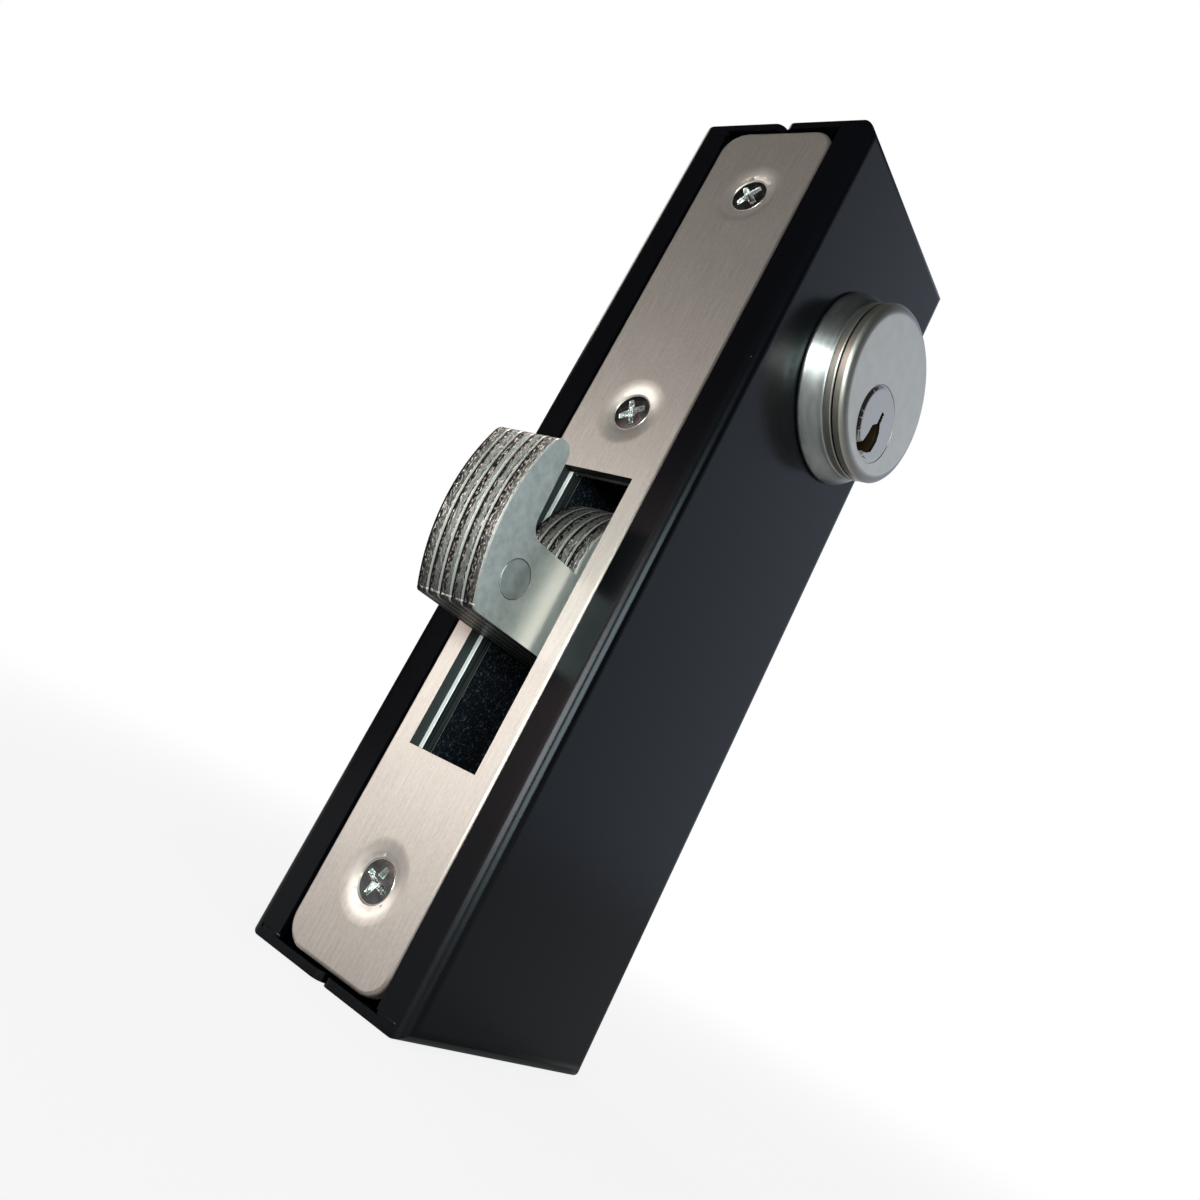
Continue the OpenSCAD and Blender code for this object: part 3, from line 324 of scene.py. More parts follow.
skimmed = put(tree, "Mix", {0: groove.outputs[0], 6: lin("#1e2324"), 7: lin("#59605e")}, data_type="RGBA")
face = put(tree, "Mix", {0: ahead.outputs[0], 6: film.outputs[2], 7: skimmed.outputs[2]}, data_type="RGBA")
scored = put(tree, "Mix", {0: score.outputs[0], 6: face.outputs[2], 7: lin("#e6ebe9")}, data_type="RGBA")
tone = put(tree, "Mix", {0: rim.outputs[0], 6: scored.outputs[2], 7: lin("#f2f5f4")}, data_type="RGBA")
metal = put(tree, "Mix", {0: rim.outputs[0], 2: 0.6, 3: 0.2}, data_type="FLOAT")
rough = put(tree, "MapRange", {0: lines.outputs[0], 1: 0.3, 2: 0.7, 3: 0.32, 4: 0.5})
bump = put(tree, "Bump", {"Strength": 0.4, "Distance": 0.05 * MM, "Height": lines.outputs[0]})
shader = put(tree, "BsdfPrincipled", {
    "Base Color": tone.outputs[2], "Metallic": metal.outputs[0], "Roughness": rough.outputs[0],
    "Normal": bump.outputs[0]})
put(tree, "OutputMaterial", {0: shader.outputs[0]})
coated_copy("bolt_guides", "lock", oiled, 0.12 * MM, 2)


# Turned pieces. The hook's pivot pin and its two spacer tubes, the studs that guide the slide, the stud
# that drives the hook, and the driver pins of the cylinder: plain steel bar, turned and left bare.
turned, tree = empty_finish("turned_steel")
# a lathe leaves fine rings, drawn 0.3 mm apart so that they show; their tone changes by a few percent
spot = put(tree, "TexCoord").outputs["Object"]
round_x = put(tree, "Mapping", {0: spot, 3: (3.5 / MM, 0.06 / MM, 0.06 / MM)})
rings = put(tree, "TexNoise", {0: round_x.outputs[0], "Scale": 1.0, "Detail": 2.0})
tone = put(tree, "Mix", {0: rings.outputs[0], 6: lin("#a9abac"), 7: lin("#cfd0cf")}, data_type="RGBA")
shader = put(tree, "BsdfPrincipled", {"Base Color": tone.outputs[2], "Metallic": 1.0, "Roughness": 0.3})
put(tree, "OutputMaterial", {0: shader.outputs[0]})
repaint(turned, "pivot_pin", "pivot_spacers", "guide_studs", "drive_stud", "driver_pins")


# Hardened pieces. The drive slide and the cam that lifts it, blanked from sheet, the bowed spring that
# drags on the slide, its rivet, and the springs of the pins, all hardened and tempered.
springy, tree = empty_finish("blued_spring_steel")
# tempering leaves a dull film that clouds from blue to brown, a few millimetres across
spot = put(tree, "TexCoord").outputs["Object"]
film = put(tree, "TexNoise", {0: spot, "Scale": 0.26 / MM, "Detail": 2.0})
tone = put(tree, "Mix", {0: film.outputs[0], 6: lin("#50545c"), 7: lin("#7a736c")}, data_type="RGBA")
shader = put(tree, "BsdfPrincipled", {"Base Color": tone.outputs[2], "Metallic": 1.0, "Roughness": 0.36})
put(tree, "OutputMaterial", {0: shader.outputs[0]})
repaint(springy, "friction_spring", "spring_rivet", "pin_springs", "drive_slide", "plug_cam")


# Hook plies. Five 2.8 mm plates blanked from one outline and riveted, zinc plated after that. A press cuts
# a narrow bright band at each plate's right edge and tears the rest, which stays rough and dark.
ply_count, ply = 5, 2.8 * MM
blanked, tree = empty_finish("zinc_plated_blanked_steel")
# plating makes the faces a cloudy pale grey; on the rims it shines only where the cut is smooth
spot = put(tree, "TexCoord")
axis = put(tree, "SeparateXYZ", {0: spot.outputs["Object"]})
facing = put(tree, "SeparateXYZ", {0: spot.outputs["Normal"]})
sideways = put(tree, "Math", {0: facing.outputs[0]}, operation="ABSOLUTE")
rim = put(tree, "MapRange", {0: sideways.outputs[0], 1: 0.85, 2: 0.5})
# how far across its plate a point lies, 0 at the left face and 1 at the right, with a wavy border
ripple = put(tree, "Mapping", {0: spot.outputs["Object"], 3: (0.0, 0.5 / MM, 0.5 / MM)})
wave = put(tree, "TexNoise", {0: ripple.outputs[0], "Scale": 1.0, "Detail": 3.0})
sway = put(tree, "MapRange", {0: wave.outputs[0], 1: 0.3, 2: 0.7, 3: -0.05, 4: 0.05})
from_left = put(tree, "Math", {0: axis.outputs[0], 1: ply_count * ply / 2}, operation="ADD")
across = put(tree, "Math", {0: from_left.outputs[0], 1: 1 / ply}, operation="MULTIPLY")
share = put(tree, "Math", {0: across.outputs[0]}, operation="FRACT")
wavy = put(tree, "Math", {0: share.outputs[0], 1: sway.outputs[0]}, operation="ADD")
# each plate differs a little: the sine of 2.4 times its number, 0 to 4, shifts the borders of its bands,
# and the sine of 0.8 times its number makes the middle plates the most smeared
ply_number = put(tree, "Math", {0: across.outputs[0]}, operation="FLOOR")
phase = put(tree, "Math", {0: ply_number.outputs[0], 1: 2.4}, operation="MULTIPLY")
uneven = put(tree, "Math", {0: phase.outputs[0]}, operation="SINE")
shift = put(tree, "MapRange", {0: uneven.outputs[0], 1: -1.0, 2: 1.0, 3: -0.1, 4: 0.1})
borders = put(tree, "Math", {0: wavy.outputs[0], 1: shift.outputs[0]}, operation="ADD")
arch = put(tree, "Math", {0: ply_number.outputs[0], 1: 0.8}, operation="MULTIPLY")
middle = put(tree, "Math", {0: arch.outputs[0]}, operation="SINE")
# the bands, from the right: burnished by the press, torn, smeared within the torn part, and a dark line
# painted at the left edge as the shade in the gap between plates
burnished = put(tree, "MapRange", {0: share.outputs[0], 1: 0.8, 2: 0.84})
bright_rim = put(tree, "Math", {0: burnished.outputs[0], 1: rim.outputs[0]}, operation="MULTIPLY")
torn = put(tree, "Math", {0: 1.0, 1: burnished.outputs[0]}, operation="SUBTRACT")
torn_rim = put(tree, "Math", {0: torn.outputs[0], 1: rim.outputs[0]}, operation="MULTIPLY")
from_smear = put(tree, "Math", {0: borders.outputs[0], 1: 0.58}, operation="SUBTRACT")
beside_smear = put(tree, "Math", {0: from_smear.outputs[0]}, operation="ABSOLUTE")
smeared = put(tree, "MapRange", {0: beside_smear.outputs[0], 1: 0.24, 2: 0.16})
strength = put(tree, "MapRange", {0: middle.outputs[0], 1: 0.0, 2: 1.0, 3: 0.3, 4: 0.85})
smeared_here = put(tree, "Math", {0: smeared.outputs[0], 1: strength.outputs[0]}, operation="MULTIPLY")
left_edge = put(tree, "MapRange", {0: share.outputs[0], 1: 0.17, 2: 0.12})
ply_gap_shade = put(tree, "Math", {0: left_edge.outputs[0], 1: rim.outputs[0]}, operation="MULTIPLY")
# torn steel lies in crumbs 0.3 by 0.7 mm; the faces have blotches of 2.4 mm and a grain of 0.6 mm, the
# grain coarser than it is so that it shows
crumbled = put(tree, "Mapping", {0: spot.outputs["Object"], 3: (3.4 / MM, 1.5 / MM, 1.5 / MM)})
crumbs = put(tree, "TexNoise", {0: crumbled.outputs[0], "Scale": 1.0, "Detail": 3.0, "Roughness": 0.5})
blotch = put(tree, "TexNoise", {0: spot.outputs["Object"], "Scale": 0.42 / MM, "Detail": 5.0,
                                "Roughness": 0.65})
fine = put(tree, "TexNoise", {0: spot.outputs["Object"], "Scale": 1.8 / MM, "Detail": 2.0})
patch = put(tree, "MapRange", {0: blotch.outputs[0], 1: 0.35, 2: 0.65})
handled = put(tree, "Mix", {0: patch.outputs[0], 6: lin("#bfc7c0"), 7: lin("#dbe0d9")}, data_type="RGBA")
# the side face is cleaner towards the slot, where the plate keeps hands off it
clean = put(tree, "MapRange", {0: axis.outputs[1], 1: -36 * MM, 2: -28 * MM},
            interpolation_type="SMOOTHSTEP")
plated = put(tree, "Mix", {0: clean.outputs[0], 6: handled.outputs[2], 7: lin("#f4f7f2")},
             data_type="RGBA")
crumb = put(tree, "MapRange", {0: crumbs.outputs[0], 1: 0.5, 2: 0.65})
tear = put(tree, "Mix", {0: crumb.outputs[0], 6: lin("#1e1b1a"), 7: lin("#f6e9e1")}, data_type="RGBA")
smear = put(tree, "Mix", {0: smeared_here.outputs[0], 6: tear.outputs[2], 7: lin("#b9beb8")},
            data_type="RGBA")
edge = put(tree, "Mix", {0: torn_rim.outputs[0], 6: plated.outputs[2], 7: smear.outputs[2]},
           data_type="RGBA")
# painted shade of the gap between plates, near black
gap_shaded = put(tree, "Mix", {0: ply_gap_shade.outputs[0], 6: edge.outputs[2], 7: lin("#040303")}, data_type="RGBA")
banded = put(tree, "Mix", {0: bright_rim.outputs[0], 6: gap_shaded.outputs[2], 7: lin("#f8fbf7")},
             data_type="RGBA")
# the rims that face down are painted dark as painted shade, their burnished band mid grey
downwards = put(tree, "MapRange", {0: facing.outputs[2], 1: -0.15, 2: -0.5, 3: 0.0, 4: 0.9})
underside_shade = put(tree, "Math", {0: downwards.outputs[0], 1: rim.outputs[0]}, operation="MULTIPLY")
# painted shade of the underside: near black, and mid grey on the burnished band
shaded_underside = put(tree, "Mix", {0: burnished.outputs[0], 6: lin("#121211"), 7: lin("#9a9d99")},
            data_type="RGBA")
tone = put(tree, "Mix", {0: underside_shade.outputs[0], 6: banded.outputs[2], 7: shaded_underside.outputs[2]},
           data_type="RGBA")
face_rough = put(tree, "MapRange", {0: fine.outputs[0], 1: 0.3, 2: 0.7, 3: 0.34, 4: 0.42})
rim_rough = put(tree, "MapRange", {0: crumbs.outputs[0], 1: 0.4, 2: 0.7, 3: 0.5, 4: 0.2})
rough = put(tree, "Mix", {0: rim.outputs[0], 2: face_rough.outputs[0], 3: rim_rough.outputs[0]},
            data_type="FLOAT")
face_height = put(tree, "Math", {0: fine.outputs[0], 1: 0.02}, operation="MULTIPLY")
height = put(tree, "Mix", {0: torn_rim.outputs[0], 2: face_height.outputs[0], 3: crumbs.outputs[0]},
             data_type="FLOAT")
bump = put(tree, "Bump", {"Strength": 1.0, "Distance": 0.45 * MM, "Height": height.outputs[0]})
shader = put(tree, "BsdfPrincipled", {
    "Base Color": tone.outputs[2], "Roughness": rough.outputs[0], "Metallic": 0.8,
    "Normal": bump.outputs[0]})
put(tree, "OutputMaterial", {0: shader.outputs[0]})
for number in range(1, ply_count + 1):
    coated_copy(f"hook_plate_{number}", "hook", blanked, 0.22 * MM)


# Rivets of the hook. Soft steel, headed flush into countersinks and plated with the hook, so only a dark
# hairline and a faint dome tell them from the plate.
headed, tree = empty_finish("zinc_plated_rivet_head")
# heading leaves the plating cloudy, 2.6 mm across, with a grain drawn at 0.5 mm so that it shows; the
# tone goes dark where the rim leans
spot = put(tree, "TexCoord")
blotch = put(tree, "TexNoise", {0: spot.outputs["Object"], "Scale": 0.38 / MM, "Detail": 3.0})
fine = put(tree, "TexNoise", {0: spot.outputs["Object"], "Scale": 1.9 / MM, "Detail": 2.0})
patch = put(tree, "MapRange", {0: blotch.outputs[0], 1: 0.35, 2: 0.65})
tone = put(tree, "Mix", {0: patch.outputs[0], 6: lin("#aab2ac"), 7: lin("#ccd3cd")}, data_type="RGBA")
facing = put(tree, "SeparateXYZ", {0: spot.outputs["Normal"]})
sideways = put(tree, "Math", {0: facing.outputs[0]}, operation="ABSOLUTE")
hairline = put(tree, "MapRange", {0: sideways.outputs[0], 1: 0.9, 2: 0.6})
ringed = put(tree, "Mix", {0: hairline.outputs[0], 6: tone.outputs[2], 7: lin("#1c1d1c")},
             data_type="RGBA")
rough = put(tree, "MapRange", {0: fine.outputs[0], 1: 0.3, 2: 0.7, 3: 0.34, 4: 0.44})
bump = put(tree, "Bump", {"Strength": 0.08, "Distance": 0.06 * MM, "Height": fine.outputs[0]})
shader = put(tree, "BsdfPrincipled", {
    "Base Color": ringed.outputs[2], "Roughness": rough.outputs[0], "Metallic": 0.9,
    "Normal": bump.outputs[0]})
put(tree, "OutputMaterial", {0: shader.outputs[0]})
coated_copy("hook_rivets", "hook", headed, 0.25 * MM)


# Faceplate. Stainless plate 2.4 mm thick with big corner radii, brushed lengthwise before it was cut; its
# cut edges are a little rounded and its three screw holes sit in shallow dimples, 5.8 mm in radius.
low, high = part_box("faceplate")
screw_z = [17.05 * MM, 108.7 * MM, 160.0 * MM]
dimple_radius = 5.8 * MM
inner_x = 9.6 * MM      # the slot and the holes lie nearer than this to the plate's middle line
end_zone = 8 * MM       # and further than this from its ends
brushed, tree = empty_finish("lengthwise_brushed_stainless")
# brushing leaves hair lines along Z, 0.3 mm apart here so that they still show; it scatters light mostly
# sideways, hence the anisotropy, and some of it in all directions, hence a metallic share of 0.85
spot = put(tree, "TexCoord")
axis = put(tree, "SeparateXYZ", {0: spot.outputs["Object"]})
facing = put(tree, "SeparateXYZ", {0: spot.outputs["Normal"]})
along = put(tree, "Mapping", {0: spot.outputs["Object"], 3: (3.4 / MM, 3.4 / MM, 0.11 / MM)})
hairs = put(tree, "TexNoise", {0: along.outputs[0], "Scale": 1.0, "Detail": 3.0, "Roughness": 0.6})
gritty = put(tree, "Mapping", {0: spot.outputs["Object"], 3: (2.6 / MM, 2.6 / MM, 1.3 / MM)})
grit = put(tree, "TexNoise", {0: gritty.outputs[0], "Scale": 1.0, "Detail": 2.0})
both = put(tree, "Mix", {0: 0.35, 2: hairs.outputs[0], 3: grit.outputs[0]}, data_type="FLOAT")
hair = put(tree, "MapRange", {0: both.outputs[0], 1: 0.3, 2: 0.7})
tone = put(tree, "Mix", {0: hair.outputs[0], 6: lin("#b0a39d"), 7: lin("#cbbfb9")}, data_type="RGBA")
# the slot's and holes' walls are painted dark as painted shade inside them; the outer edge was ground
# bright with the corners
frontal = put(tree, "Math", {0: facing.outputs[1]}, operation="ABSOLUTE")
from_middle = put(tree, "Math", {0: axis.outputs[0]}, operation="ABSOLUTE")
inside = put(tree, "MapRange", {0: from_middle.outputs[0], 1: inner_x, 2: 9.3 * MM})
outside = put(tree, "Math", {0: 1.0, 1: inside.outputs[0]}, operation="SUBTRACT")
wall = put(tree, "MapRange", {0: frontal.outputs[0], 1: 0.75, 2: 0.4})
slot_wall_shade = put(tree, "Math", {0: wall.outputs[0], 1: inside.outputs[0]}, operation="MULTIPLY")
rounded = put(tree, "MapRange", {0: frontal.outputs[0], 1: 0.97, 2: 0.9})
ground = put(tree, "Math", {0: rounded.outputs[0], 1: outside.outputs[0]}, operation="MULTIPLY")
# the dimples, pressed by a punch, are smoother than the plate and painted lighter as a painted highlight;
# both fade out from 5.0 to 6.4 mm from each screw
nearest = 1.0
for z in screw_z:
    offset = put(tree, "Mapping", {0: spot.outputs["Object"], 1: (0, 0, -z), 3: (1, 0, 1)})
    off = put(tree, "VectorMath", {0: offset.outputs[0]}, operation="LENGTH")
    nearest = put(tree, "Math", {0: nearest, 1: off.outputs["Value"]}, operation="MINIMUM").outputs[0]
dish = put(tree, "MapRange", {0: nearest, 1: 6.4 * MM, 2: 5.0 * MM, 3: 0.0, 4: 0.8},
           interpolation_type="SMOOTHSTEP")
dimple_highlight_tone = put(tree, "Mix", {0: dish.outputs[0], 6: tone.outputs[2], 7: lin("#d6cbc4")},
                   data_type="RGBA")
# painted shade on the walls of the slot and the holes
shade = put(tree, "Mix", {0: slot_wall_shade.outputs[0], 6: dimple_highlight_tone.outputs[2], 7: lin("#2e3333")},
            data_type="RGBA")
brushing = put(tree, "MapRange", {0: both.outputs[0], 1: 0.3, 2: 0.7, 3: 0.58, 4: 0.64})
scatter = put(tree, "Mix", {0: dish.outputs[0], 2: brushing.outputs[0], 3: 0.5}, data_type="FLOAT")
rough = put(tree, "Mix", {0: ground.outputs[0], 2: scatter.outputs[0], 3: 0.3}, data_type="FLOAT")
grain_way = put(tree, "Tangent", direction_type="RADIAL", axis="Z")
bump = put(tree, "Bump", {"Strength": 0.25, "Distance": 0.03 * MM, "Height": both.outputs[0]})
shader = put(tree, "BsdfPrincipled", {
    "Base Color": shade.outputs[2], "Roughness": rough.outputs[0], "Metallic": 0.85,
    "Anisotropic": 0.92, "Tangent": grain_way.outputs[0], "Normal": bump.outputs[0]})
put(tree, "OutputMaterial", {0: shader.outputs[0]})


def dimple_dish(shape):
    """Turns the flat cones round the three screws into pressed dishes and rolls the plate's outline over.
    The edges of each dimple's outer circle, whose ends lie within 0.06 mm of its radius on the front, are
    rounded over 1.5 mm on each side. Then the front edges that turn by over a radian, apart from the
    slot's and the holes', are rounded over 0.8 mm."""
    rounding = {"offset_type": "OFFSET", "segments": 6, "profile": 0.5, "affect": "EDGES"}
    circles = [edge for edge in shape.edges for z in screw_z
               if all(abs(math.hypot(v.co.x, v.co.z - z) - dimple_radius) < 0.06 * MM
                      and v.co.y < low.y + 0.1 * MM for v in edge.verts)]
    bmesh.ops.bevel(shape, geom=circles, offset=1.5 * MM, **rounding)
    outline = [edge for edge in shape.edges
               if edge.calc_face_angle(0) > 1.0 and all(v.co.y < low.y + 0.05 * MM for v in edge.verts)
               and all(abs(v.co.x) > inner_x or not low.z + end_zone < v.co.z < high.z - end_zone
                       for v in edge.verts)]
    bmesh.ops.bevel(shape, geom=outline, offset=0.8 * MM, **rounding)


coated_copy("faceplate", "lock", brushed, 0.25 * MM, angle=25, press=dimple_dish)


# Faceplate screws. Three zinc-plated machine screws with flat heads and a cross recess, sunk in the
# plate's dimples and driven into the two tabs and a lug of the case, each stopped at an angle of its own.
head, shank = 3.78 * MM, 1.98 * MM      # radii
screw_length, tip_bevel = 10.9 * MM, 0.4 * MM
sunk, dome_rise, rim_roll = 0.45 * MM, 0.16 * MM, 0.28 * MM
rim_share = 0.07        # the rolled rim's width, as a share of the head's radius
arm_reach, arm_half, arm_taper = 2.5 * MM, 0.62 * MM, 0.1       # the recess's arms narrow by a tenth
recess_depth, recess_fall = 1.5 * MM, 0.22      # and it gets shallower outwards, by 0.22 of the radius
wall_across, wall_along = 0.34 * MM, 0.5 * MM   # over which its walls come up
screw_turns = (0.35, 1.05, 0.75)        # radians
zinc, tree = empty_finish("zinc_plated_screw")
# plating over a rolled head: bluish grey, with an uneven gloss in patches of 1.4 mm
spot = put(tree, "TexCoord")
blotch = put(tree, "TexNoise", {0: spot.outputs["Object"], "Scale": 0.7 / MM, "Detail": 3.0})
patch = put(tree, "MapRange", {0: blotch.outputs[0], 1: 0.35, 2: 0.65})
tone = put(tree, "Mix", {0: patch.outputs[0], 6: lin("#686a6a"), 7: lin("#858787")}, data_type="RGBA")
# the rolled rim and the recess's walls, where the surface leans, are painted near white: a painted
# highlight
facing = put(tree, "SeparateXYZ", {0: spot.outputs["Normal"]})
frontal = put(tree, "Math", {0: facing.outputs[1]}, operation="ABSOLUTE")
leaning = put(tree, "MapRange", {0: frontal.outputs[0], 1: 0.97, 2: 0.85})
rim_and_recess_highlight = put(tree, "Mix", {0: leaning.outputs[0], 6: tone.outputs[2], 7: lin("#e2e7e5")},
             data_type="RGBA")
rough = put(tree, "MapRange", {0: blotch.outputs[0], 1: 0.3, 2: 0.7, 3: 0.2, 4: 0.28})
bump = put(tree, "Bump", {"Strength": 0.05, "Distance": 0.06 * MM, "Height": blotch.outputs[0]})
shader = put(tree, "BsdfPrincipled", {
    "Base Color": rim_and_recess_highlight.outputs[2], "Roughness": rough.outputs[0], "Metallic": 1.0,
    "Normal": bump.outputs[0]})
put(tree, "OutputMaterial", {0: shader.outputs[0]})


def cross_head_screw(name, centre_z, turn):
    """A flat-head screw along Y. Its head is a low dome, whose rise goes by the radius squared, with a
    rim rolled over in a quarter ellipse; the cross recess is the larger of two bars' masks times a depth
    that falls from the middle to the bars' ends. Behind the rim the profile runs down the cone and the
    shank."""
    face = low.y + sunk
    rim_from = 1 - rim_share
    around = np.linspace(0, 2 * np.pi, 144, endpoint=False)[None, :]
    share = np.concatenate([np.linspace(0.03, rim_from, 44),
                            rim_from + rim_share * np.sin(np.linspace(0.2, np.pi / 2, 6))])[:, None]
    r = share * head
    over_rim = ((share - rim_from) / rim_share).clip(0, 1)
    rolled = rim_roll * (1 - np.sqrt(np.clip(1 - over_rim ** 2, 0, 1)))
    u, v = r * np.cos(around + turn), r * np.sin(around + turn)

    def step(x):
        """The smooth step from 0 to 1: three x squared minus two x cubed."""
        x = np.clip(x, 0, 1)
        return x * x * (3 - 2 * x)

    def bar(along, across):
        """A bar's mask: the product of a smooth step across it and one along it at its ends."""
        half_width = arm_half - arm_taper * np.abs(along)
        return (step((half_width - np.abs(across)) / wall_across + 0.5)
                * step((arm_reach - np.abs(along)) / wall_along + 0.5))

    recess = np.maximum(bar(u, v), bar(v, u)) * (recess_depth - recess_fall * r)
    front_rows = np.stack([r * np.cos(around), face + dome_rise * share ** 2 + rolled + recess,
                           r * np.sin(around) + centre_z], axis=-1)
    edge_y = face + dome_rise + rim_roll
    tip_y = face + screw_length
    tail = np.array([(head, edge_y + 0.02 * MM), (shank, edge_y + head - shank),
                     (shank, tip_y - tip_bevel), (shank - tip_bevel, tip_y), (0.05 * MM, tip_y)])
    back_rows = np.stack([tail[:, :1] * np.cos(around),
                          np.broadcast_to(tail[:, 1:], (len(tail), around.size)),
                          tail[:, :1] * np.sin(around) + centre_z], axis=-1)
    return surface_mesh(name, np.concatenate([front_rows, back_rows]), zinc)


for number, (z, turn) in enumerate(zip(screw_z, screw_turns), 1):
    screw = cross_head_screw(f"faceplate_screw_{number}", z, turn)
    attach(screw, "lock")
    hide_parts("faceplate_screws")


# Key cylinder. A machined brass body whose head is plated satin chrome, with a narrow ring of the same
# finish under the head. The set screw in the lock case holds the body by a notch in its side.
joint_x = 27.0 * MM     # where the ring meets the head
satin, tree = empty_finish("satin_chrome")
# blasted before plating: an even grain, drawn 0.3 mm across so that it shows, and faint clouds of 3.3 mm
spot = put(tree, "TexCoord")
axis = put(tree, "SeparateXYZ", {0: spot.outputs["Object"]})
facing = put(tree, "SeparateXYZ", {0: spot.outputs["Normal"]})
grain = put(tree, "TexNoise", {0: spot.outputs["Object"], "Scale": 3.4 / MM, "Detail": 2.0})
cloud = put(tree, "TexNoise", {0: spot.outputs["Object"], "Scale": 0.3 / MM, "Detail": 2.0})
patch = put(tree, "MapRange", {0: cloud.outputs[0], 1: 0.35, 2: 0.65})
tone = put(tree, "Mix", {0: patch.outputs[0], 6: lin("#dbd6cb"), 7: lin("#e1dcd2")}, data_type="RGBA")
# the slope from the flat face to the shoulder is painted a darker, warmer tone, a painted shade
off_flat = put(tree, "MapRange", {0: facing.outputs[0], 1: 0.99, 2: 0.93})
off_side = put(tree, "MapRange", {0: facing.outputs[0], 1: 0.35, 2: 0.9})
shoulder_shade = put(tree, "Math", {0: off_flat.outputs[0], 1: off_side.outputs[0]}, operation="MULTIPLY")
shoulder_shaded = put(tree, "Mix", {0: shoulder_shade.outputs[0], 6: tone.outputs[2], 7: lin("#9c9793")}, data_type="RGBA")
# a dark line is painted where the ring meets the head, a painted shade of the gap between them
from_joint = put(tree, "Math", {0: axis.outputs[0], 1: joint_x}, operation="SUBTRACT")
beside_joint = put(tree, "Math", {0: from_joint.outputs[0]}, operation="ABSOLUTE")
joint = put(tree, "MapRange", {0: beside_joint.outputs[0], 1: 0.3 * MM, 2: 0.14 * MM})
joint_shaded = put(tree, "Mix", {0: joint.outputs[0], 6: shoulder_shaded.outputs[2], 7: lin("#242625")},
              data_type="RGBA")
rough = put(tree, "MapRange", {0: grain.outputs[0], 1: 0.3, 2: 0.7, 3: 0.35, 4: 0.39})
bump = put(tree, "Bump", {"Strength": 0.06, "Distance": 0.04 * MM, "Height": grain.outputs[0]})
shader = put(tree, "BsdfPrincipled", {
    "Base Color": joint_shaded.outputs[2], "Roughness": rough.outputs[0], "Metallic": 1.0,
    "Normal": bump.outputs[0]})
put(tree, "OutputMaterial", {0: shader.outputs[0]})
coated_copy("cylinder_shell", "lock", satin, 0.3 * MM)


# Cylinder collar. A loose die casting between the cylinder's head and the box, with a broad base. The
# ring lies over it, under the head, and is blasted and plated like the head.
cast, tree = empty_finish("chromed_die_casting")
# the collar was only buffed before plating: cooler and shinier, with long faint wipes, 1.1 by 6 mm
spot = put(tree, "TexCoord").outputs["Object"]
wiped = put(tree, "Mapping", {0: spot, 3: (0.9 / MM, 0.16 / MM, 0.16 / MM)})
wipe = put(tree, "TexNoise", {0: wiped.outputs[0], "Scale": 1.0, "Detail": 3.0})
patch = put(tree, "MapRange", {0: wipe.outputs[0], 1: 0.35, 2: 0.65})
tone = put(tree, "Mix", {0: patch.outputs[0], 6: lin("#a0a4a4"), 7: lin("#b6baba")}, data_type="RGBA")
rough = put(tree, "MapRange", {0: wipe.outputs[0], 1: 0.3, 2: 0.7, 3: 0.31, 4: 0.35})
shader = put(tree, "BsdfPrincipled", {
    "Base Color": tone.outputs[2], "Roughness": rough.outputs[0], "Metallic": 1.0})
put(tree, "OutputMaterial", {0: shader.outputs[0]})
coated_copy("cylinder_collar", "lock", cast, 0.15 * MM)
coated_copy("spacer_ring", "lock", satin, 0.12 * MM)


# Key pins and the strip that closes their chambers. Brass, the pins turned to their lengths and the strip
# cut from sheet and pressed in.
brass, tree = empty_finish("machined_brass")
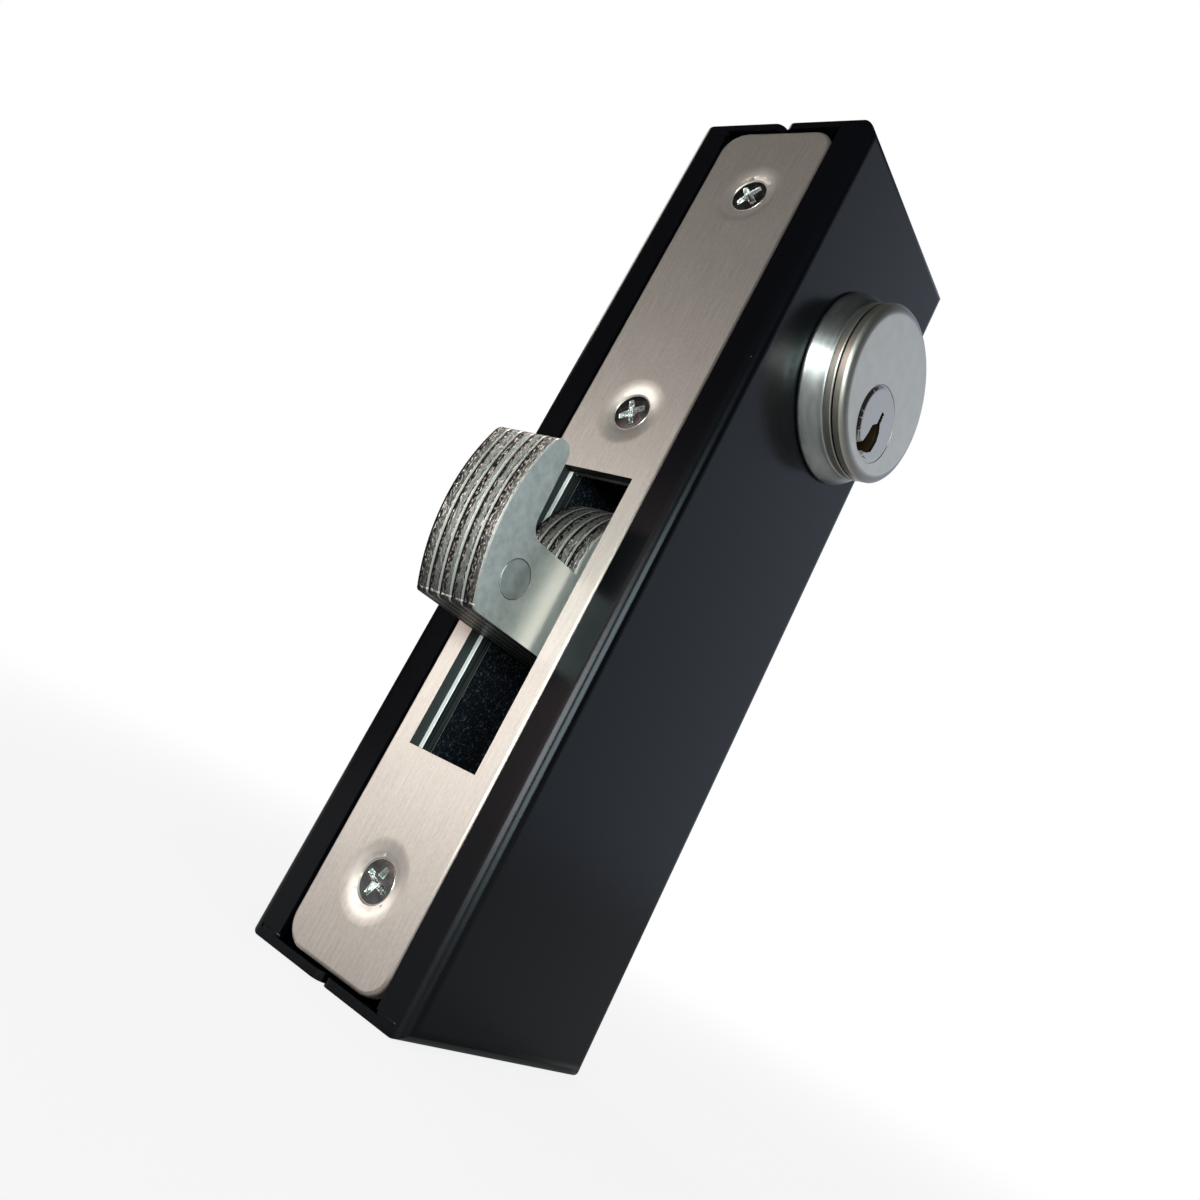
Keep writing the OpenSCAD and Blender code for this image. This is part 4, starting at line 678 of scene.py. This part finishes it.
# cutting leaves fine rings in the yellow metal, drawn 0.3 mm apart so that they show
spot = put(tree, "TexCoord").outputs["Object"]
round_x = put(tree, "Mapping", {0: spot, 3: (3.5 / MM, 0.09 / MM, 0.09 / MM)})
rings = put(tree, "TexNoise", {0: round_x.outputs[0], "Scale": 1.0, "Detail": 2.0})
tone = put(tree, "Mix", {0: rings.outputs[0], 6: lin("#a8864c"), 7: lin("#caa566")}, data_type="RGBA")
shader = put(tree, "BsdfPrincipled", {"Base Color": tone.outputs[2], "Metallic": 1.0, "Roughness": 0.32})
put(tree, "OutputMaterial", {0: shader.outputs[0]})
repaint(brass, "chamber_cap", "key_pins")


# Key plug. Brass, turned with a bevelled rim, broached for the keyway and plated bright; it turns in the
# cylinder and carries the cam at its rear end.
plug_y, plug_z = 5.5 * MM, 131.6 * MM
bright, tree = empty_finish("bright_plated_plug")
# the rim is polished to a mirror from 6.4 mm out, and the face inside it shows a grain, drawn 0.4 mm
# across; in the keyway, which the mask finds behind x = 29.8 mm and within 6.3 mm of the plug's axis, the
# plating gives way to broached brass
spot = put(tree, "TexCoord").outputs["Object"]
axis = put(tree, "SeparateXYZ", {0: spot})
deep = put(tree, "MapRange", {0: axis.outputs[0], 1: 29.8 * MM, 2: 29.0 * MM})
radial = put(tree, "Mapping", {0: spot, 1: (0, -plug_y, -plug_z), 3: (0, 1, 1)})
out = put(tree, "VectorMath", {0: radial.outputs[0]}, operation="LENGTH")
inner = put(tree, "MapRange", {0: out.outputs["Value"], 1: 6.3 * MM, 2: 5.9 * MM})
brassy = put(tree, "Math", {0: deep.outputs[0], 1: inner.outputs[0]}, operation="MULTIPLY")
grain = put(tree, "TexNoise", {0: spot, "Scale": 2.6 / MM, "Detail": 2.0})
plate = put(tree, "Mix", {0: grain.outputs[0], 6: lin("#c4c0b9"), 7: lin("#cdc9c2")}, data_type="RGBA")
tone = put(tree, "Mix", {0: brassy.outputs[0], 6: plate.outputs[2], 7: lin("#9a7d5a")}, data_type="RGBA")
polished = put(tree, "MapRange", {0: out.outputs["Value"], 1: 6.4 * MM, 2: 6.55 * MM, 3: 0.2, 4: 0.07})
rough = put(tree, "Mix", {0: brassy.outputs[0], 2: polished.outputs[0], 3: 0.4}, data_type="FLOAT")
shader = put(tree, "BsdfPrincipled", {
    "Base Color": tone.outputs[2], "Roughness": rough.outputs[0], "Metallic": 1.0})
put(tree, "OutputMaterial", {0: shader.outputs[0]})
coated_copy("key_plug", "plug", bright, 0.12 * MM)
